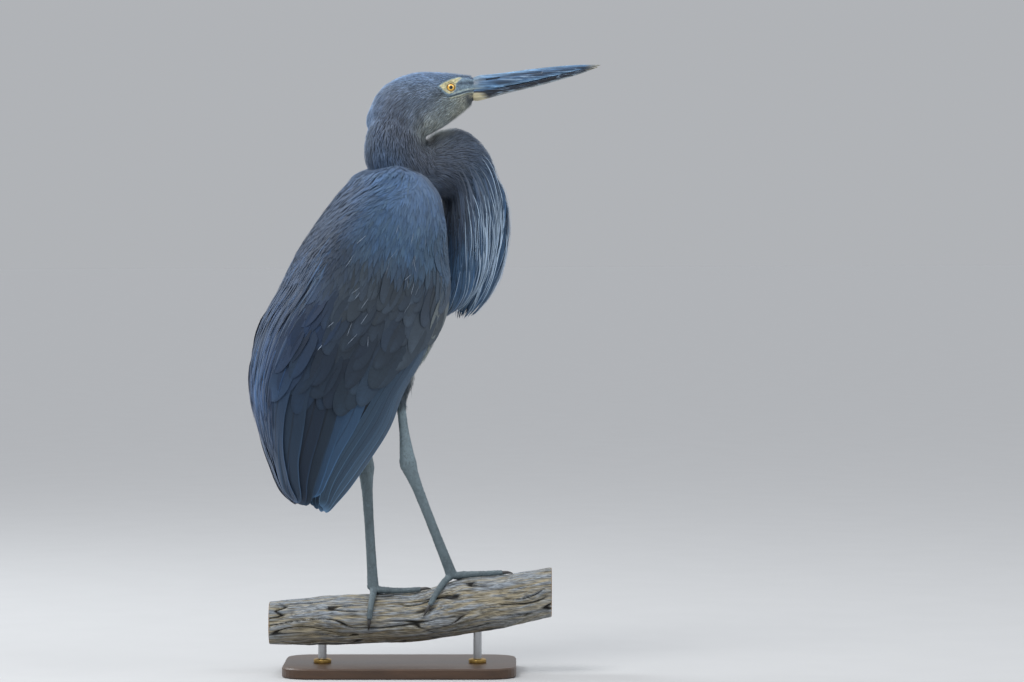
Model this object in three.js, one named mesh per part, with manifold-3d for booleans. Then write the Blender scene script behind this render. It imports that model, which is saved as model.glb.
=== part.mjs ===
import * as THREE from 'three';
import { mergeVertices } from 'three/addons/utils/BufferGeometryUtils.js';
import Module from 'manifold-3d';

const wasm = await Module();
wasm.setup();

// A great-billed heron, life size, standing upright on a short cut length of branch. Two rods hold
// the branch over a flat base. Millimetres: the bird faces +X, its left side is +Y and +Z is up.
// The origin is the centre of the base's underside.

const gap = 0.3; // between pieces that touch
const overlap = 6; // how far a cutter reaches past the surface that it cuts

// The perch crosses under the bird at an angle, and the head is turned along the same line.
const perchTurn = THREE.MathUtils.degToRad(-25);
const perchAside = -17; // the perch passes a little to the right of the base's centre
const perchStart = -185;
const perchEnd = 215;

const baseLength = 330;
const baseWidth = 210;
const baseThickness = 15;
const baseCorner = 40;
const baseBevel = 2;
const rodRadius = 6;
const rodSpacing = 220;

const covertsEnd = 400; // height of the lower edge of the wing coverts
const bodyPower = 3; // how square the body is in a level slice; 2 would be an ellipse
const headPower = 2.2;

const eyeForward = 72;
const eyeAside = 14.4;
const eyeHeight = 830.3;
const eyeRadius = 8;

const headEnd = 104;
const billBase = headEnd + gap;
const billTip = 285;
const lowerBillTip = 281;

const footLift = 8; // the middle of the foot over the bark
const ankleRadius = 11;

// Colours, as the feathers, skin, bark and stand show them.
const finishes = {
  slate: { color: 0x4b5562, roughness: 0.85, metalness: 0 },
  crown: { color: 0x4f5664, roughness: 0.85, metalness: 0 },
  taupe: { color: 0x55565d, roughness: 0.9, metalness: 0 },
  plume: { color: 0x8d97a3, roughness: 0.7, metalness: 0 },
  flight: { color: 0x3d4757, roughness: 0.75, metalness: 0 },
  bill: { color: 0x6b7f93, roughness: 0.45, metalness: 0 },
  jaw: { color: 0x4c5b6b, roughness: 0.5, metalness: 0 },
  eye: { color: 0xd9b640, roughness: 0.1, metalness: 0 },
  leg: { color: 0x7d7b78, roughness: 0.7, metalness: 0 },
  claw: { color: 0x2c2b2a, roughness: 0.4, metalness: 0 },
  bark: { color: 0x8a8078, roughness: 0.95, metalness: 0 },
  base: { color: 0x2b2a29, roughness: 0.5, metalness: 0 },
  steel: { color: 0x9a9c9e, roughness: 0.35, metalness: 1 },
};

// ---------------------------------------------------------------- frames and curves

const up = new THREE.Vector3(0, 0, 1);
const lateral = new THREE.Vector3(0, 1, 0);
const along = new THREE.Vector3(Math.cos(perchTurn), Math.sin(perchTurn), 0);
const aside = new THREE.Vector3(-Math.sin(perchTurn), Math.cos(perchTurn), 0);

// A point measured forward and left of the line that the perch and the head share.
function onLine(forward, left, height) {
  const point = along.clone().multiplyScalar(forward);
  return point.addScaledVector(aside, left).addScaledVector(up, height);
}

const mix = THREE.MathUtils.lerp;
const degrees = THREE.MathUtils.degToRad;
const signedPower = (value, power) => Math.sign(value) * Math.abs(value) ** power;

// A smooth curve through rows of [position, value, ...]. It gives the values at any position.
function through(rows) {
  const slope = (i, column) => {
    const before = rows[Math.max(i - 1, 0)];
    const after = rows[Math.min(i + 1, rows.length - 1)];
    return (after[column] - before[column]) / (after[0] - before[0]);
  };
  return position => {
    const last = rows.length - 2;
    const found = rows.findIndex((row, i) => i < last && (rows[i + 1][0] - position) * (rows[1][0] - rows[0][0]) > 0);
    const i = found < 0 ? last : found;
    const span = rows[i + 1][0] - rows[i][0];
    const t = THREE.MathUtils.clamp((position - rows[i][0]) / span, 0, 1);
    return rows[i].slice(1).map((value, k) => {
      const rise = rows[i + 1][k + 1] - value;
      const leave = slope(i, k + 1) * span;
      const arrive = slope(i + 1, k + 1) * span;
      return value + t * leave + t * t * (3 * rise - 2 * leave - arrive) + t ** 3 * (leave + arrive - 2 * rise);
    });
  };
}

// ---------------------------------------------------------------- closed bodies

// A geometry from corners and triangles, turned inside out if its faces point in.
function bodyFrom(points, triangles) {
  const volume = triangles.reduce((sum, [a, b, c]) => {
    return sum + points[a].dot(new THREE.Vector3().crossVectors(points[b], points[c]));
  }, 0);
  const outward = volume > 0 ? triangles : triangles.map(([a, b, c]) => [a, c, b]);
  const geometry = new THREE.BufferGeometry();
  geometry.setAttribute('position', new THREE.Float32BufferAttribute(points.flatMap(p => p.toArray()), 3));
  geometry.setIndex(outward.flat());
  return geometry;
}

// Walls between neighbouring rings of points, and a fan of triangles over each end.
function loft(rings) {
  const count = rings[0].length;
  const points = rings.flat();
  const triangles = [];
  for (let r = 0; r + 1 < rings.length; r += 1) {
    for (let i = 0; i < count; i += 1) {
      const a = r * count + i;
      const b = r * count + (i + 1) % count;
      triangles.push([a, b, b + count], [a, b + count, a + count]);
    }
  }
  for (const ring of [0, rings.length - 1]) {
    const middle = rings[ring].reduce((sum, p) => sum.add(p), new THREE.Vector3()).divideScalar(count);
    const centre = points.push(middle) - 1;
    for (let i = 0; i < count; i += 1) {
      const a = ring * count + i;
      const b = ring * count + (i + 1) % count;
      triangles.push(ring === 0 ? [b, a, centre] : [a, b, centre]);
    }
  }
  return bodyFrom(points, triangles);
}

// A curved plate between two grids of points of the same size.
function plate(outer, inner) {
  const rows = outer.length;
  const columns = outer[0].length;
  const points = [...outer.flat(), ...inner.flat()];
  const under = rows * columns;
  const triangles = [];
  const quad = (a, b, c, d) => triangles.push([a, b, c], [a, c, d]);
  for (let r = 0; r + 1 < rows; r += 1) {
    for (let c = 0; c + 1 < columns; c += 1) {
      const a = r * columns + c;
      quad(a, a + 1, a + columns + 1, a + columns);
      quad(under + a + columns, under + a + columns + 1, under + a + 1, under + a);
    }
  }
  const top = [...Array(columns).keys()];
  const right = [...Array(rows).keys()].map(r => r * columns + columns - 1);
  const bottom = top.map(c => (rows - 1) * columns + columns - 1 - c);
  const left = right.map((value, r) => (rows - 1 - r) * columns);
  for (const edge of [top, right, bottom, left]) {
    for (let i = 0; i + 1 < edge.length; i += 1) {
      quad(edge[i + 1], edge[i], under + edge[i], under + edge[i + 1]);
    }
  }
  return bodyFrom(points, triangles);
}

// A rounded outline about a centre: half width to the sides, and its own reach above and below.
function outline(centre, side, top, halfWidth, above, below, power, sides) {
  return [...Array(sides).keys()].map(i => {
    const angle = 2 * Math.PI * i / sides;
    const across = signedPower(Math.sin(angle), 2 / power) * halfWidth;
    const reach = signedPower(Math.cos(angle), 2 / power) * (Math.cos(angle) > 0 ? above : below);
    return centre.clone().addScaledVector(side, across).addScaledVector(top, reach);
  });
}

// A limb: rings square to a smooth curve through stations of [point, half width, half depth].
function limb(stations, { sides = 10, steps = 10, from = 0, to = 1, fixedSide = null, grow = 0, power = 2 } = {}) {
  const curve = new THREE.CatmullRomCurve3(stations.map(station => station[0]), false, 'centripetal');
  const lastStation = stations.length - 1;
  const sizes = through(stations.map((station, i) => [i / lastStation, station[1], station[2] ?? station[1]]));
  const frames = curve.computeFrenetFrames(steps);
  const rings = [];
  for (let k = 0; k <= steps; k += 1) {
    const t = mix(from, to, k / steps);
    const tangent = curve.getTangent(t);
    const wanted = fixedSide ?? frames.normals[k];
    const side = wanted.clone().addScaledVector(tangent, -wanted.dot(tangent)).normalize();
    const top = new THREE.Vector3().crossVectors(tangent, side);
    const centre = curve.getPoint(t);
    if (k === 0) centre.addScaledVector(tangent, -grow);
    if (k === steps) centre.addScaledVector(tangent, grow);
    const [halfWidth, halfDepth] = sizes(t).map(size => Math.max(size, 0.3) + grow);
    rings.push(outline(centre, side, top, halfWidth, halfDepth, halfDepth, power, sides));
  }
  return loft(rings);
}

// ---------------------------------------------------------------- cutting one piece to its neighbours

function solidOf(geometry) {
  const bare = geometry.clone();
  bare.deleteAttribute('normal');
  bare.deleteAttribute('uv');
  const merged = mergeVertices(bare, 1e-4);
  return new wasm.Manifold(new wasm.Mesh({
    numProp: 3,
    vertProperties: new Float32Array(merged.attributes.position.array),
    triVerts: new Uint32Array(merged.index.array),
  }));
}

function geometryOf(solid) {
  const mesh = solid.getMesh();
  const geometry = new THREE.BufferGeometry();
  geometry.setAttribute('position', new THREE.Float32BufferAttribute(mesh.vertProperties, 3));
  geometry.setIndex(Array.from(mesh.triVerts));
  return geometry;
}

// Every shape below is a function of how much it grows, so a grown copy cuts its neighbour with a gap.
function trimmed(shape, neighbours) {
  let solid = solidOf(shape(0));
  for (const neighbour of neighbours) {
    solid = solid.subtract(solidOf(neighbour(gap)));
  }
  return geometryOf(solid);
}

const heron = new THREE.Group();

function add(name, shape, finish, neighbours = []) {
  const geometry = neighbours.length > 0 ? trimmed(shape, neighbours) : shape(0);
  geometry.computeVertexNormals();
  const mesh = new THREE.Mesh(geometry, new THREE.MeshStandardMaterial(finishes[finish]));
  mesh.name = name;
  heron.add(mesh);
}

// ---------------------------------------------------------------- head and bill

// Head, from the nape to the bill: [forward, top, bottom, half width]. The throat rises to the chin.
const headRows = [
  [-47, 790, 776, 7],
  [-41, 808, 762, 18],
  [-24, 832, 755, 27],
  [0, 846, 752, 31],
  [25, 853, 757, 31],
  [50, 853, 768, 27],
  [72, 852, 781.5, 22],
  [92, 849.5, 797, 18],
  [headEnd, 848.8, 807.5, 14.5],
];
// Bill: [forward, culmen, line where the halves meet, underside, half width].
const billRows = [
  [billBase, 849, 826, 809, 14],
  [122, 850, 827, 814, 12.5],
  [142, 852, 830, 820, 11],
  [195, 859, 841, 832.5, 8],
  [240, 863, 852, 845, 5.2],
  [268, 864, 858, 854, 3],
  [billTip, 863, 862, 861, 0.8],
];
const biteHalf = 0.8; // each half of the bill is this thick past its widest line

const headShape = grow => {
  const rowAt = through(headRows);
  const steps = 12;
  const rings = [...Array(steps + 1).keys()].map(k => {
    const forward = mix(headRows[0][0], headEnd, k / steps);
    const [top, bottom, halfWidth] = rowAt(forward);
    const half = (top - bottom) / 2 + grow;
    const centre = onLine(forward, 0, (top + bottom) / 2);
    return outline(centre, aside, up, halfWidth + grow, half, half, headPower, 16);
  });
  return loft(rings);
};

function billShape(isUpper, grow) {
  const rowAt = through(billRows);
  const tip = isUpper ? billTip : lowerBillTip;
  const steps = 8;
  const rings = [...Array(steps + 1).keys()].map(k => {
    const grown = k === 0 ? -grow : k === steps ? grow : 0;
    const forward = mix(billBase, tip, k / steps) + grown;
    const [culmen, bite, underside, halfWidth] = rowAt(forward);
    const side = isUpper ? 1 : -1;
    const height = bite + side * (biteHalf + gap / 2);
    const centre = onLine(forward, 0, height);
    const above = isUpper ? Math.max(culmen - height, 0.4) : biteHalf;
    const below = isUpper ? biteHalf : Math.max(height - underside, 0.4);
    return outline(centre, aside, up, halfWidth + grow, above + grow, below + grow, 2, 12);
  });
  return loft(rings);
}

const upperBill = grow => billShape(true, grow);
const lowerBill = grow => billShape(false, grow);

function eyeShape(side, grow) {
  const ball = new THREE.SphereGeometry(eyeRadius + grow, 12, 7);
  const centre = onLine(eyeForward, side * eyeAside, eyeHeight);
  return ball.translate(centre.x, centre.y, centre.z);
}
const leftEye = grow => eyeShape(1, grow);
const rightEye = grow => eyeShape(-1, grow);

add('head', headShape, 'crown', [leftEye, rightEye]);
add('bill_upper', upperBill, 'bill');
add('bill_lower', lowerBill, 'jaw');
add('eye_left', leftEye, 'eye');
add('eye_right', rightEye, 'eye');

// ---------------------------------------------------------------- neck

// The neck comes down behind the throat, runs forward between the shoulders, bulges out in front
// and goes back down into the chest, all in the bird's middle plane. Each row gives the throat side
// and the nape side of one cross-section, and its half width:
// [throat forward, throat height, nape forward, nape height, half width].
const neckRows = [
  [50, 786, -40, 796, 27],
  [38, 758, -52, 756, 37],
  [38, 753, -47, 712, 39],
  [43, 759, -8, 676, 40],
  [62, 771, 34, 670, 42],
  [98, 773, 62, 674, 44],
  [134, 742, 70, 668, 42],
  [152, 692, 68, 648, 40],
  [158, 640, 66, 610, 38],
  [149, 586, 62, 568, 35],
  [116, 540, 44, 522, 29],
  [70, 505, 22, 500, 15],
];
// Where the neck is parted, in rows from its top.
const neckSplits = { upper: [0, 3.39], middle: [3.41, 6.49], lower: [6.51, neckRows.length - 1] };
const neckAt = through(neckRows.map((row, i) => [i, ...row]));

function neckShape(part, steps, grow) {
  const [from, to] = neckSplits[part];
  const rings = [...Array(steps + 1).keys()].map(k => {
    const [throatX, throatZ, napeX, napeZ, halfWidth] = neckAt(mix(from, to, k / steps));
    const throat = new THREE.Vector3(throatX, 0, throatZ);
    const nape = new THREE.Vector3(napeX, 0, napeZ);
    const half = throat.distanceTo(nape) / 2 + grow;
    const centre = throat.clone().lerp(nape, 0.5);
    const top = throat.sub(nape).normalize();
    const onward = new THREE.Vector3().crossVectors(top, lateral);
    const grown = k === 0 ? grow : k === steps ? -grow : 0;
    centre.addScaledVector(onward, grown);
    return outline(centre, lateral, top, halfWidth + grow, half, half, 2, 16);
  });
  return loft(rings);
}
const upperNeck = grow => neckShape('upper', 6, grow);
const middleNeck = grow => neckShape('middle', 7, grow);
const lowerNeck = grow => neckShape('lower', 7, grow);

// The long plumes of the foreneck hang in front of the neck and end in a point:
// [forward, height, half width, half depth].
const plumeRows = [
  [141, 712, 14, 3],
  [151, 680, 27, 5],
  [154, 640, 33, 8],
  [147, 600, 33, 13],
  [129, 562, 30, 21],
  [109, 530, 24, 20],
  [96, 508, 12, 11],
  [91, 498, 5, 5],
];
const plumes = grow => {
  const stations = plumeRows.map(([forward, height, halfWidth, halfDepth]) => {
    return [new THREE.Vector3(forward, 0, height), halfWidth, halfDepth];
  });
  return limb(stations, { sides: 12, steps: 9, fixedSide: lateral, grow });
};

add('neck_upper', upperNeck, 'crown', [headShape]);
add('neck_middle', middleNeck, 'taupe', [headShape, upperNeck]);

// ---------------------------------------------------------------- body

// Outside of the body and folded wings, level by level: [height, back, front, half width].
const envelopeRows = [
  [721, -28, -8, 34],
  [713, -48, 13, 52],
  [690, -73, 40, 69],
  [646, -110, 57, 80],
  [600, -143, 60, 86],
  [550, -170, 66, 90],
  [500, -199, 54, 90],
  [450, -215, 33, 86],
  [400, -219, 3, 78],
  [350, -209, -16, 66],
  [300, -194, -49, 50],
  [256, -174, -81, 30],
  [232, -149, -103, 14],
];
// The trunk alone leaves the wings below the belly and closes behind the legs.
const trunkRows = [
  ...envelopeRows.slice(0, 7), // down to the lower breast
  [460, -213, 34, 84],
  [430, -217, 16, 76],
  [404, -217, -18, 64],
  [378, -205, -62, 48],
  [354, -185, -104, 28],
  [342, -168, -128, 12],
];
const envelopeAt = through(envelopeRows);
const trunkAt = through(trunkRows);

// A point of the body's outside: angle 0 is the middle of the back, 180 the middle of the breast.
function onBody(height, angle, side, inset = 0) {
  const [back, front, halfWidth] = envelopeAt(height);
  const halfDepth = Math.max((front - back) / 2 - inset, 1);
  const forward = (front + back) / 2 - halfDepth * signedPower(Math.cos(angle), 2 / bodyPower);
  const left = side * Math.max(halfWidth - inset, 1) * signedPower(Math.sin(angle), 2 / bodyPower);
  return new THREE.Vector3(forward, left, height);
}

const trunk = grow => {
  const top = trunkRows[0][0];
  const bottom = trunkRows.at(-1)[0];
  const forwardAxis = new THREE.Vector3(1, 0, 0);
  const steps = 14;
  const rings = [...Array(steps + 1).keys()].map(k => {
    const height = mix(top, bottom, k / steps);
    const [back, front, halfWidth] = trunkAt(height);
    const half = (front - back) / 2 + grow;
    const centre = new THREE.Vector3((front + back) / 2, 0, height);
    return outline(centre, lateral, forwardAxis, halfWidth + grow, half, half, bodyPower, 20);
  });
  return loft(rings);
};

// ---------------------------------------------------------------- wings

// Where the folded wing lies round the body, level by level, in degrees from the middle of the back:
// [height, rear edge, joint between secondaries and primaries, front edge].
const wingRows = [
  [700, 52, 118, 136],
  [640, 46, 118, 138],
  [560, 42, 116, 138],
  [487, 36, 114, 135],
  [416, 27, 110, 132],
  [388, 18, 105, 130],
  [355, 8, 99, 128],
  [325, 3, 95, 126],
  [290, 2, 88, 124],
  [256, 2, 76, 120],
  [232, 2, 60, 116],
];
const wingEdges = through(wingRows);
const wingThickness = through([[700, 9], [640, 12], [480, 10], [400, 7], [320, 4.5], [232, 2]]);
const seam = degrees(0.35); // half the slit between two groups of feathers
const edgeRadius = 40; // a radius for turning a small growth at a wing's edge into an angle

// The three groups of feathers in a folded wing. Each runs from its upper to its lower edge, which
// change from its rear side (0) to its front side (1), between two of the columns of wingRows.
const wingGroups = {
  coverts: {
    upper: through([[0, 652], [0.5, 698], [1, 668]]),
    lower: () => [covertsEnd + gap],
    rear: 0,
    front: 2,
    columns: 10,
    rows: 8,
  },
  secondaries: {
    upper: () => [covertsEnd],
    lower: through([[0, 248], [0.35, 241], [1, 243]]),
    rear: 0,
    front: 1,
    columns: 7,
    rows: 8,
  },
  primaries: {
    upper: () => [covertsEnd],
    lower: through([[0, 243], [0.6, 231], [1, 236]]),
    rear: 1,
    front: 2,
    columns: 4,
    rows: 8,
  },
};

function wingShape(group, side, grow, reach = 0) {
  const { upper, lower, rear, front, columns, rows } = wingGroups[group];
  const surface = inset => [...Array(rows + 1).keys()].map(r => [...Array(columns + 1).keys()].map(c => {
    const share = c / columns;
    const height = mix(upper(share)[0] + 3 * grow, lower(share)[0] - grow, r / rows);
    const edges = wingEdges(height).map(degrees);
    const rearEdge = edges[rear] + (rear === 1 ? seam : 0);
    const frontEdge = edges[front] - (front === 1 ? seam : 0);
    const angle = mix(rearEdge - grow / edgeRadius, frontEdge + grow / edgeRadius, share);
    return onBody(height, angle, side, inset < 0 ? inset : wingThickness(height)[0] + inset);
  }));
  return plate(surface(-Math.max(grow + reach, 1e-6)), surface(2 * grow));
}

const wingShapes = { left: {}, right: {} };
for (const [name, side] of [['left', 1], ['right', -1]]) {
  for (const group of Object.keys(wingGroups)) {
    wingShapes[name][group] = grow => wingShape(group, side, grow);
    add(`wing_${name}_${group}`, wingShapes[name][group], group === 'coverts' ? 'slate' : 'flight');
  }
}
// What the wings take out of the trunk, which reaches past its outside so that no skin is left over them.
const wingRoom = [1, -1].flatMap(side => {
  return Object.keys(wingGroups).map(group => grow => wingShape(group, side, grow, overlap));
});

// ---------------------------------------------------------------- tail

// A flat fan between the wing tips: [forward, height, half width, half thickness].
const tailRows = [
  [-140, 398, 30, 16],
  [-152, 350, 34, 10],
  [-156, 300, 34, 5],
  [-152, 262, 24, 3],
  [-147, 240, 12, 1.4],
];
const tail = grow => {
  const stations = tailRows.map(([forward, height, halfWidth, halfDepth]) => {
    return [new THREE.Vector3(forward, 0, height), halfWidth, halfDepth];
  });
  return limb(stations, { sides: 10, steps: 7, fixedSide: lateral, grow });
};
add('tail', tail, 'flight', [trunk, ...wingRoom]);
add('trunk', trunk, 'slate', [upperNeck, middleNeck, ...wingRoom]);
add('neck_lower', lowerNeck, 'taupe', [trunk]);
add('neck_plumes', plumes, 'plume', [lowerNeck, middleNeck, trunk]);

// ---------------------------------------------------------------- perch

// The branch rises towards the bird's front: [forward, height of its middle, radius].
const perchRows = [
  [perchStart, 72, 30],
  [-142, 74, 31.5],
  [-85, 76.7, 35],
  [-28, 77.6, 34.8],
  [28, 81, 35.5],
  [85, 94, 40],
  [142, 102, 37.5],
  [perchEnd, 116, 35],
];
const perchAt = through(perchRows);

// A point over the bark. Angle 0 is the top and the angle grows towards the bird's left.
function onPerch(forward, angle, lift = 0) {
  const [height, radius] = perchAt(forward);
  const ridges = 0.045 * Math.sin(3 * angle + forward / 60) + 0.03 * Math.sin(5 * angle - forward / 35);
  const reach = radius * (1 + ridges * Math.min(1, Math.abs(angle))) + lift;
  return onLine(forward, perchAside + reach * Math.sin(angle), height + reach * Math.cos(angle));
}

const perch = grow => {
  const steps = 16;
  const sides = 16;
  const rings = [...Array(steps + 1).keys()].map(k => {
    const forward = mix(perchStart, perchEnd, k / steps);
    return [...Array(sides).keys()].map(i => onPerch(forward, 2 * Math.PI * i / sides - Math.PI, grow));
  });
  return loft(rings);
};
add('perch_branch', perch, 'bark');

// ---------------------------------------------------------------- legs and feet

// Each leg: the knee inside the body's feathers, the ankle, and where the foot stands on the perch.
const legs = {
  right: {
    knee: onLine(-6, -48, 452),
    ankle: onLine(12, -38, 299),
    foot: { forward: 74, angle: degrees(-4) },
    toes: {
      hind: { start: [66, -12], end: [43, -66], radius: 4.6, claw: 0.38 },
      inner: { start: [78, 14], end: [112, 78], radius: 4.4, claw: 0.26 },
      middle: { start: [82, 5], end: [158, 44], radius: 4.6, claw: 0.17 },
      outer: { start: [83, -8], end: [146, -14], radius: 4.4, claw: 0.22 },
    },
  },
  left: {
    knee: onLine(-52, 14, 448),
    ankle: onLine(-49, 5, 291),
    foot: { forward: -38, angle: degrees(2) },
    toes: {
      hind: { start: [-37, -12], end: [-42, -86], radius: 4.6, claw: 0.34 },
      inner: { start: [-28, -4], end: [30, -12], radius: 4.4, claw: 0.24 },
      middle: { start: [-29, 8], end: [36, 56], radius: 4.6, claw: 0.2 },
      outer: { start: [-34, 16], end: [-14, 92], radius: 4.4, claw: 0.24 },
    },
  },
};
const thighEnd = 0.42; // share of the way from knee to ankle where the feathers stop

for (const [name, leg] of Object.entries(legs)) {
  const { knee, ankle } = leg;
  const foot = onPerch(leg.foot.forward, leg.foot.angle, footLift);
  const between = (a, b, share) => a.clone().lerp(b, share);

  const thigh = grow => limb([
    [between(knee, ankle, -0.12), 26, 34],
    [knee, 25, 32],
    [between(knee, ankle, 0.2), 18, 23],
    [between(knee, ankle, thighEnd), 8, 10],
  ], { sides: 12, steps: 6, fixedSide: aside, grow });
  const shank = grow => limb([
    [between(knee, ankle, thighEnd + 0.004), 5.8, 6.4],
    [between(knee, ankle, 0.7), 5.9, 7],
    [between(knee, ankle, 0.93), ankleRadius * 0.8, ankleRadius],
  ], { sides: 10, steps: 4, fixedSide: aside, grow });
  const tarsus = grow => limb([
    [between(knee, ankle, 0.935), ankleRadius * 0.8, ankleRadius],
    [ankle, ankleRadius * 0.86, ankleRadius * 1.15],
    [between(ankle, foot, 0.14), 7, 8.4],
    [between(ankle, foot, 0.5), 6, 6.8],
    [between(ankle, foot, 0.88), 6.6, 7.6],
    [between(ankle, foot, 1), 7, 8.5],
  ], { sides: 9, steps: 9, fixedSide: aside, grow });

  add(`thigh_${name}`, thigh, 'slate', [trunk, ...wingRoom]);
  add(`shank_${name}`, shank, 'leg');
  add(`tarsus_${name}`, tarsus, 'leg', [perch]);

  // A toe runs from the foot down onto the bark and along it, and its claw goes on in the same line.
  const made = [tarsus];
  for (const [toeName, toe] of Object.entries(leg.toes)) {
    const clearance = 0.8;
    const touching = (share, radius) => {
      const [forward, angle] = toe.start.map((value, k) => mix(value, toe.end[k], share));
      return onPerch(forward, degrees(angle), radius + clearance);
    };
    const toeShape = grow => limb([
      [foot.clone().lerp(touching(0, toe.radius), 0.35), toe.radius + 0.6],
      [touching(0, toe.radius + 1), toe.radius + 0.4],
      [touching(0.33, toe.radius), toe.radius],
      [touching(0.66, toe.radius), toe.radius * 0.92],
      [touching(1, toe.radius * 0.84), toe.radius * 0.84],
    ], { sides: 7, steps: 6, grow });
    const clawShape = grow => limb([
      [touching(1.012, toe.radius * 0.84), toe.radius * 0.62],
      [touching(1 + toe.claw / 2, 3.4), 2.1],
      [touching(1 + toe.claw, 1.2), 0.4],
    ], { sides: 6, steps: 4, grow });
    add(`toe_${name}_${toeName}`, toeShape, 'leg', made);
    add(`claw_${name}_${toeName}`, clawShape, 'claw', [toeShape]);
    made.push(toeShape);
  }
}


// ---------------------------------------------------------------- stand

const baseShape = () => {
  const [x, y] = [baseLength / 2 - baseBevel, baseWidth / 2 - baseBevel];
  const corner = baseCorner - baseBevel;
  const edge = new THREE.Shape();
  edge.moveTo(x - corner, -y);
  edge.absarc(x - corner, corner - y, corner, -Math.PI / 2, 0);
  edge.absarc(x - corner, y - corner, corner, 0, Math.PI / 2);
  edge.absarc(corner - x, y - corner, corner, Math.PI / 2, Math.PI);
  edge.absarc(corner - x, corner - y, corner, Math.PI, 1.5 * Math.PI);
  const slab = new THREE.ExtrudeGeometry(edge, {
    depth: baseThickness - 2 * baseBevel,
    bevelThickness: baseBevel,
    bevelSize: baseBevel,
    bevelSegments: 1,
    curveSegments: 4,
  });
  return slab.translate(0, 0, baseBevel).rotateZ(perchTurn);
};
add('stand_base', baseShape, 'base');

for (const [name, share] of [['rear', -0.5], ['front', 0.5]]) {
  const forward = share * rodSpacing;
  const bottom = baseThickness + gap;
  const rodTop = perchAt(forward)[0];
  const rod = () => {
    const shaft = new THREE.CylinderGeometry(rodRadius, rodRadius, rodTop - bottom, 20);
    const foot = onLine(forward, perchAside, (rodTop + bottom) / 2);
    return shaft.rotateX(Math.PI / 2).translate(foot.x, foot.y, foot.z);
  };
  add(`stand_rod_${name}`, rod, 'steel', [perch]);
}

export default heron;
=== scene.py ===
# %% [markdown]
# # A great-billed heron on a cut branch
# The real object is a tall slate-blue wading bird, standing on a weathered branch, as a museum
# shows it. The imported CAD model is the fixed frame. It gives the true size and the place of
# every part, and everything below is made around it, in metres, with +Z up and the bird
# facing +X. The bird's own right side is at -Y.

# %% Load the frame
import math

import bmesh
import bpy
import numpy as np
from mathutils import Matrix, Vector, noise
from mathutils.bvhtree import BVHTree


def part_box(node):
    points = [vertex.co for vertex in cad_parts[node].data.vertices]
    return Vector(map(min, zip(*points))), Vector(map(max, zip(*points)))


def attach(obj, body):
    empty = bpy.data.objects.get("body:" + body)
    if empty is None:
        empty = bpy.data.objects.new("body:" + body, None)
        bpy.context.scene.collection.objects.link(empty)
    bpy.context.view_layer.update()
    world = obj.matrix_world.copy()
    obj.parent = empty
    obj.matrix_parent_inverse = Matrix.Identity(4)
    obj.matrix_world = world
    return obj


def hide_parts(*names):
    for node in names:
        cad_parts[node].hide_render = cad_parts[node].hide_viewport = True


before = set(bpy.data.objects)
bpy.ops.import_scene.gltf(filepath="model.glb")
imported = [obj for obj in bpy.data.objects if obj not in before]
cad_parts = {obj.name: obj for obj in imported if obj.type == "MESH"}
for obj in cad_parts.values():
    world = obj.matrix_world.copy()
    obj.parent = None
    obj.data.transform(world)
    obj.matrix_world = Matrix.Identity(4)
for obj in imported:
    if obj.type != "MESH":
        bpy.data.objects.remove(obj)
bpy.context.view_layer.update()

# %% [markdown]
# ## Camera
# A long lens from far away keeps the bird's proportions true, as a telescope does.
# The camera looks at the bird's right side, a little from behind, from just above the height
# of its body. It aims ahead of the bird, where the animal is looking.

# %% Camera
view_turn = math.radians(-25)
view_rise = math.radians(1.5)
view_distance = 6.0
lens_mm = 148.5
aim = Vector((0.1441, -0.0672, 0.4714))

back = Vector((
    math.sin(view_turn) * math.cos(view_rise),
    -math.cos(view_turn) * math.cos(view_rise),
    math.sin(view_rise),
))
bpy.ops.object.select_all(action="DESELECT")
bpy.ops.object.camera_add(location=aim + back * view_distance)
camera = bpy.context.object
camera.name = "camera"
camera.data.lens = lens_mm
camera.data.sensor_width = 36
camera.rotation_euler = back.to_track_quat("Z", "Y").to_euler()
bpy.context.scene.camera = camera
print("camera at", [round(v, 3) for v in camera.location])

# %% [markdown]
# ## Shader maths as Python
# A material is a graph of nodes. Written out node by node it is long and hard to read, so one
# small class wraps a socket that carries a number and overloads the operators: `1 - mask * 2`
# adds the Math nodes by itself. Another class holds one material and adds any other node from
# its type, its settings and its inputs.

# %% Shader helpers
class Number:
    """A number that changes over a surface. An expression on it adds Math nodes."""

    def __init__(self, finish, socket):
        self.finish = finish
        self.socket = socket

    def maths(self, operation, first, second=0.0):
        settings = {"operation": operation}
        node = self.finish.node("ShaderNodeMath", settings, {0: first, 1: second})
        return Number(self.finish, node.outputs[0])

    def __add__(self, other):
        return self.maths("ADD", self, other)

    def __radd__(self, other):
        return self.maths("ADD", other, self)

    def __sub__(self, other):
        return self.maths("SUBTRACT", self, other)

    def __rsub__(self, other):
        return self.maths("SUBTRACT", other, self)

    def __mul__(self, other):
        return self.maths("MULTIPLY", self, other)

    def __rmul__(self, other):
        return self.maths("MULTIPLY", other, self)

    def __truediv__(self, other):
        return self.maths("DIVIDE", self, other)

    def __pow__(self, other):
        return self.maths("POWER", self, other)

    def __abs__(self):
        return self.maths("ABSOLUTE", self)

    def most(self, other):
        return self.maths("MAXIMUM", self, other)

    def between(self, low, high):
        """0 under low, 1 over high, with a soft step between."""
        settings = {"interpolation_type": "SMOOTHSTEP"}
        inputs = {"Value": self, "From Min": low, "From Max": high}
        node = self.finish.node("ShaderNodeMapRange", settings, inputs)
        return Number(self.finish, node.outputs["Result"])


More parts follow.
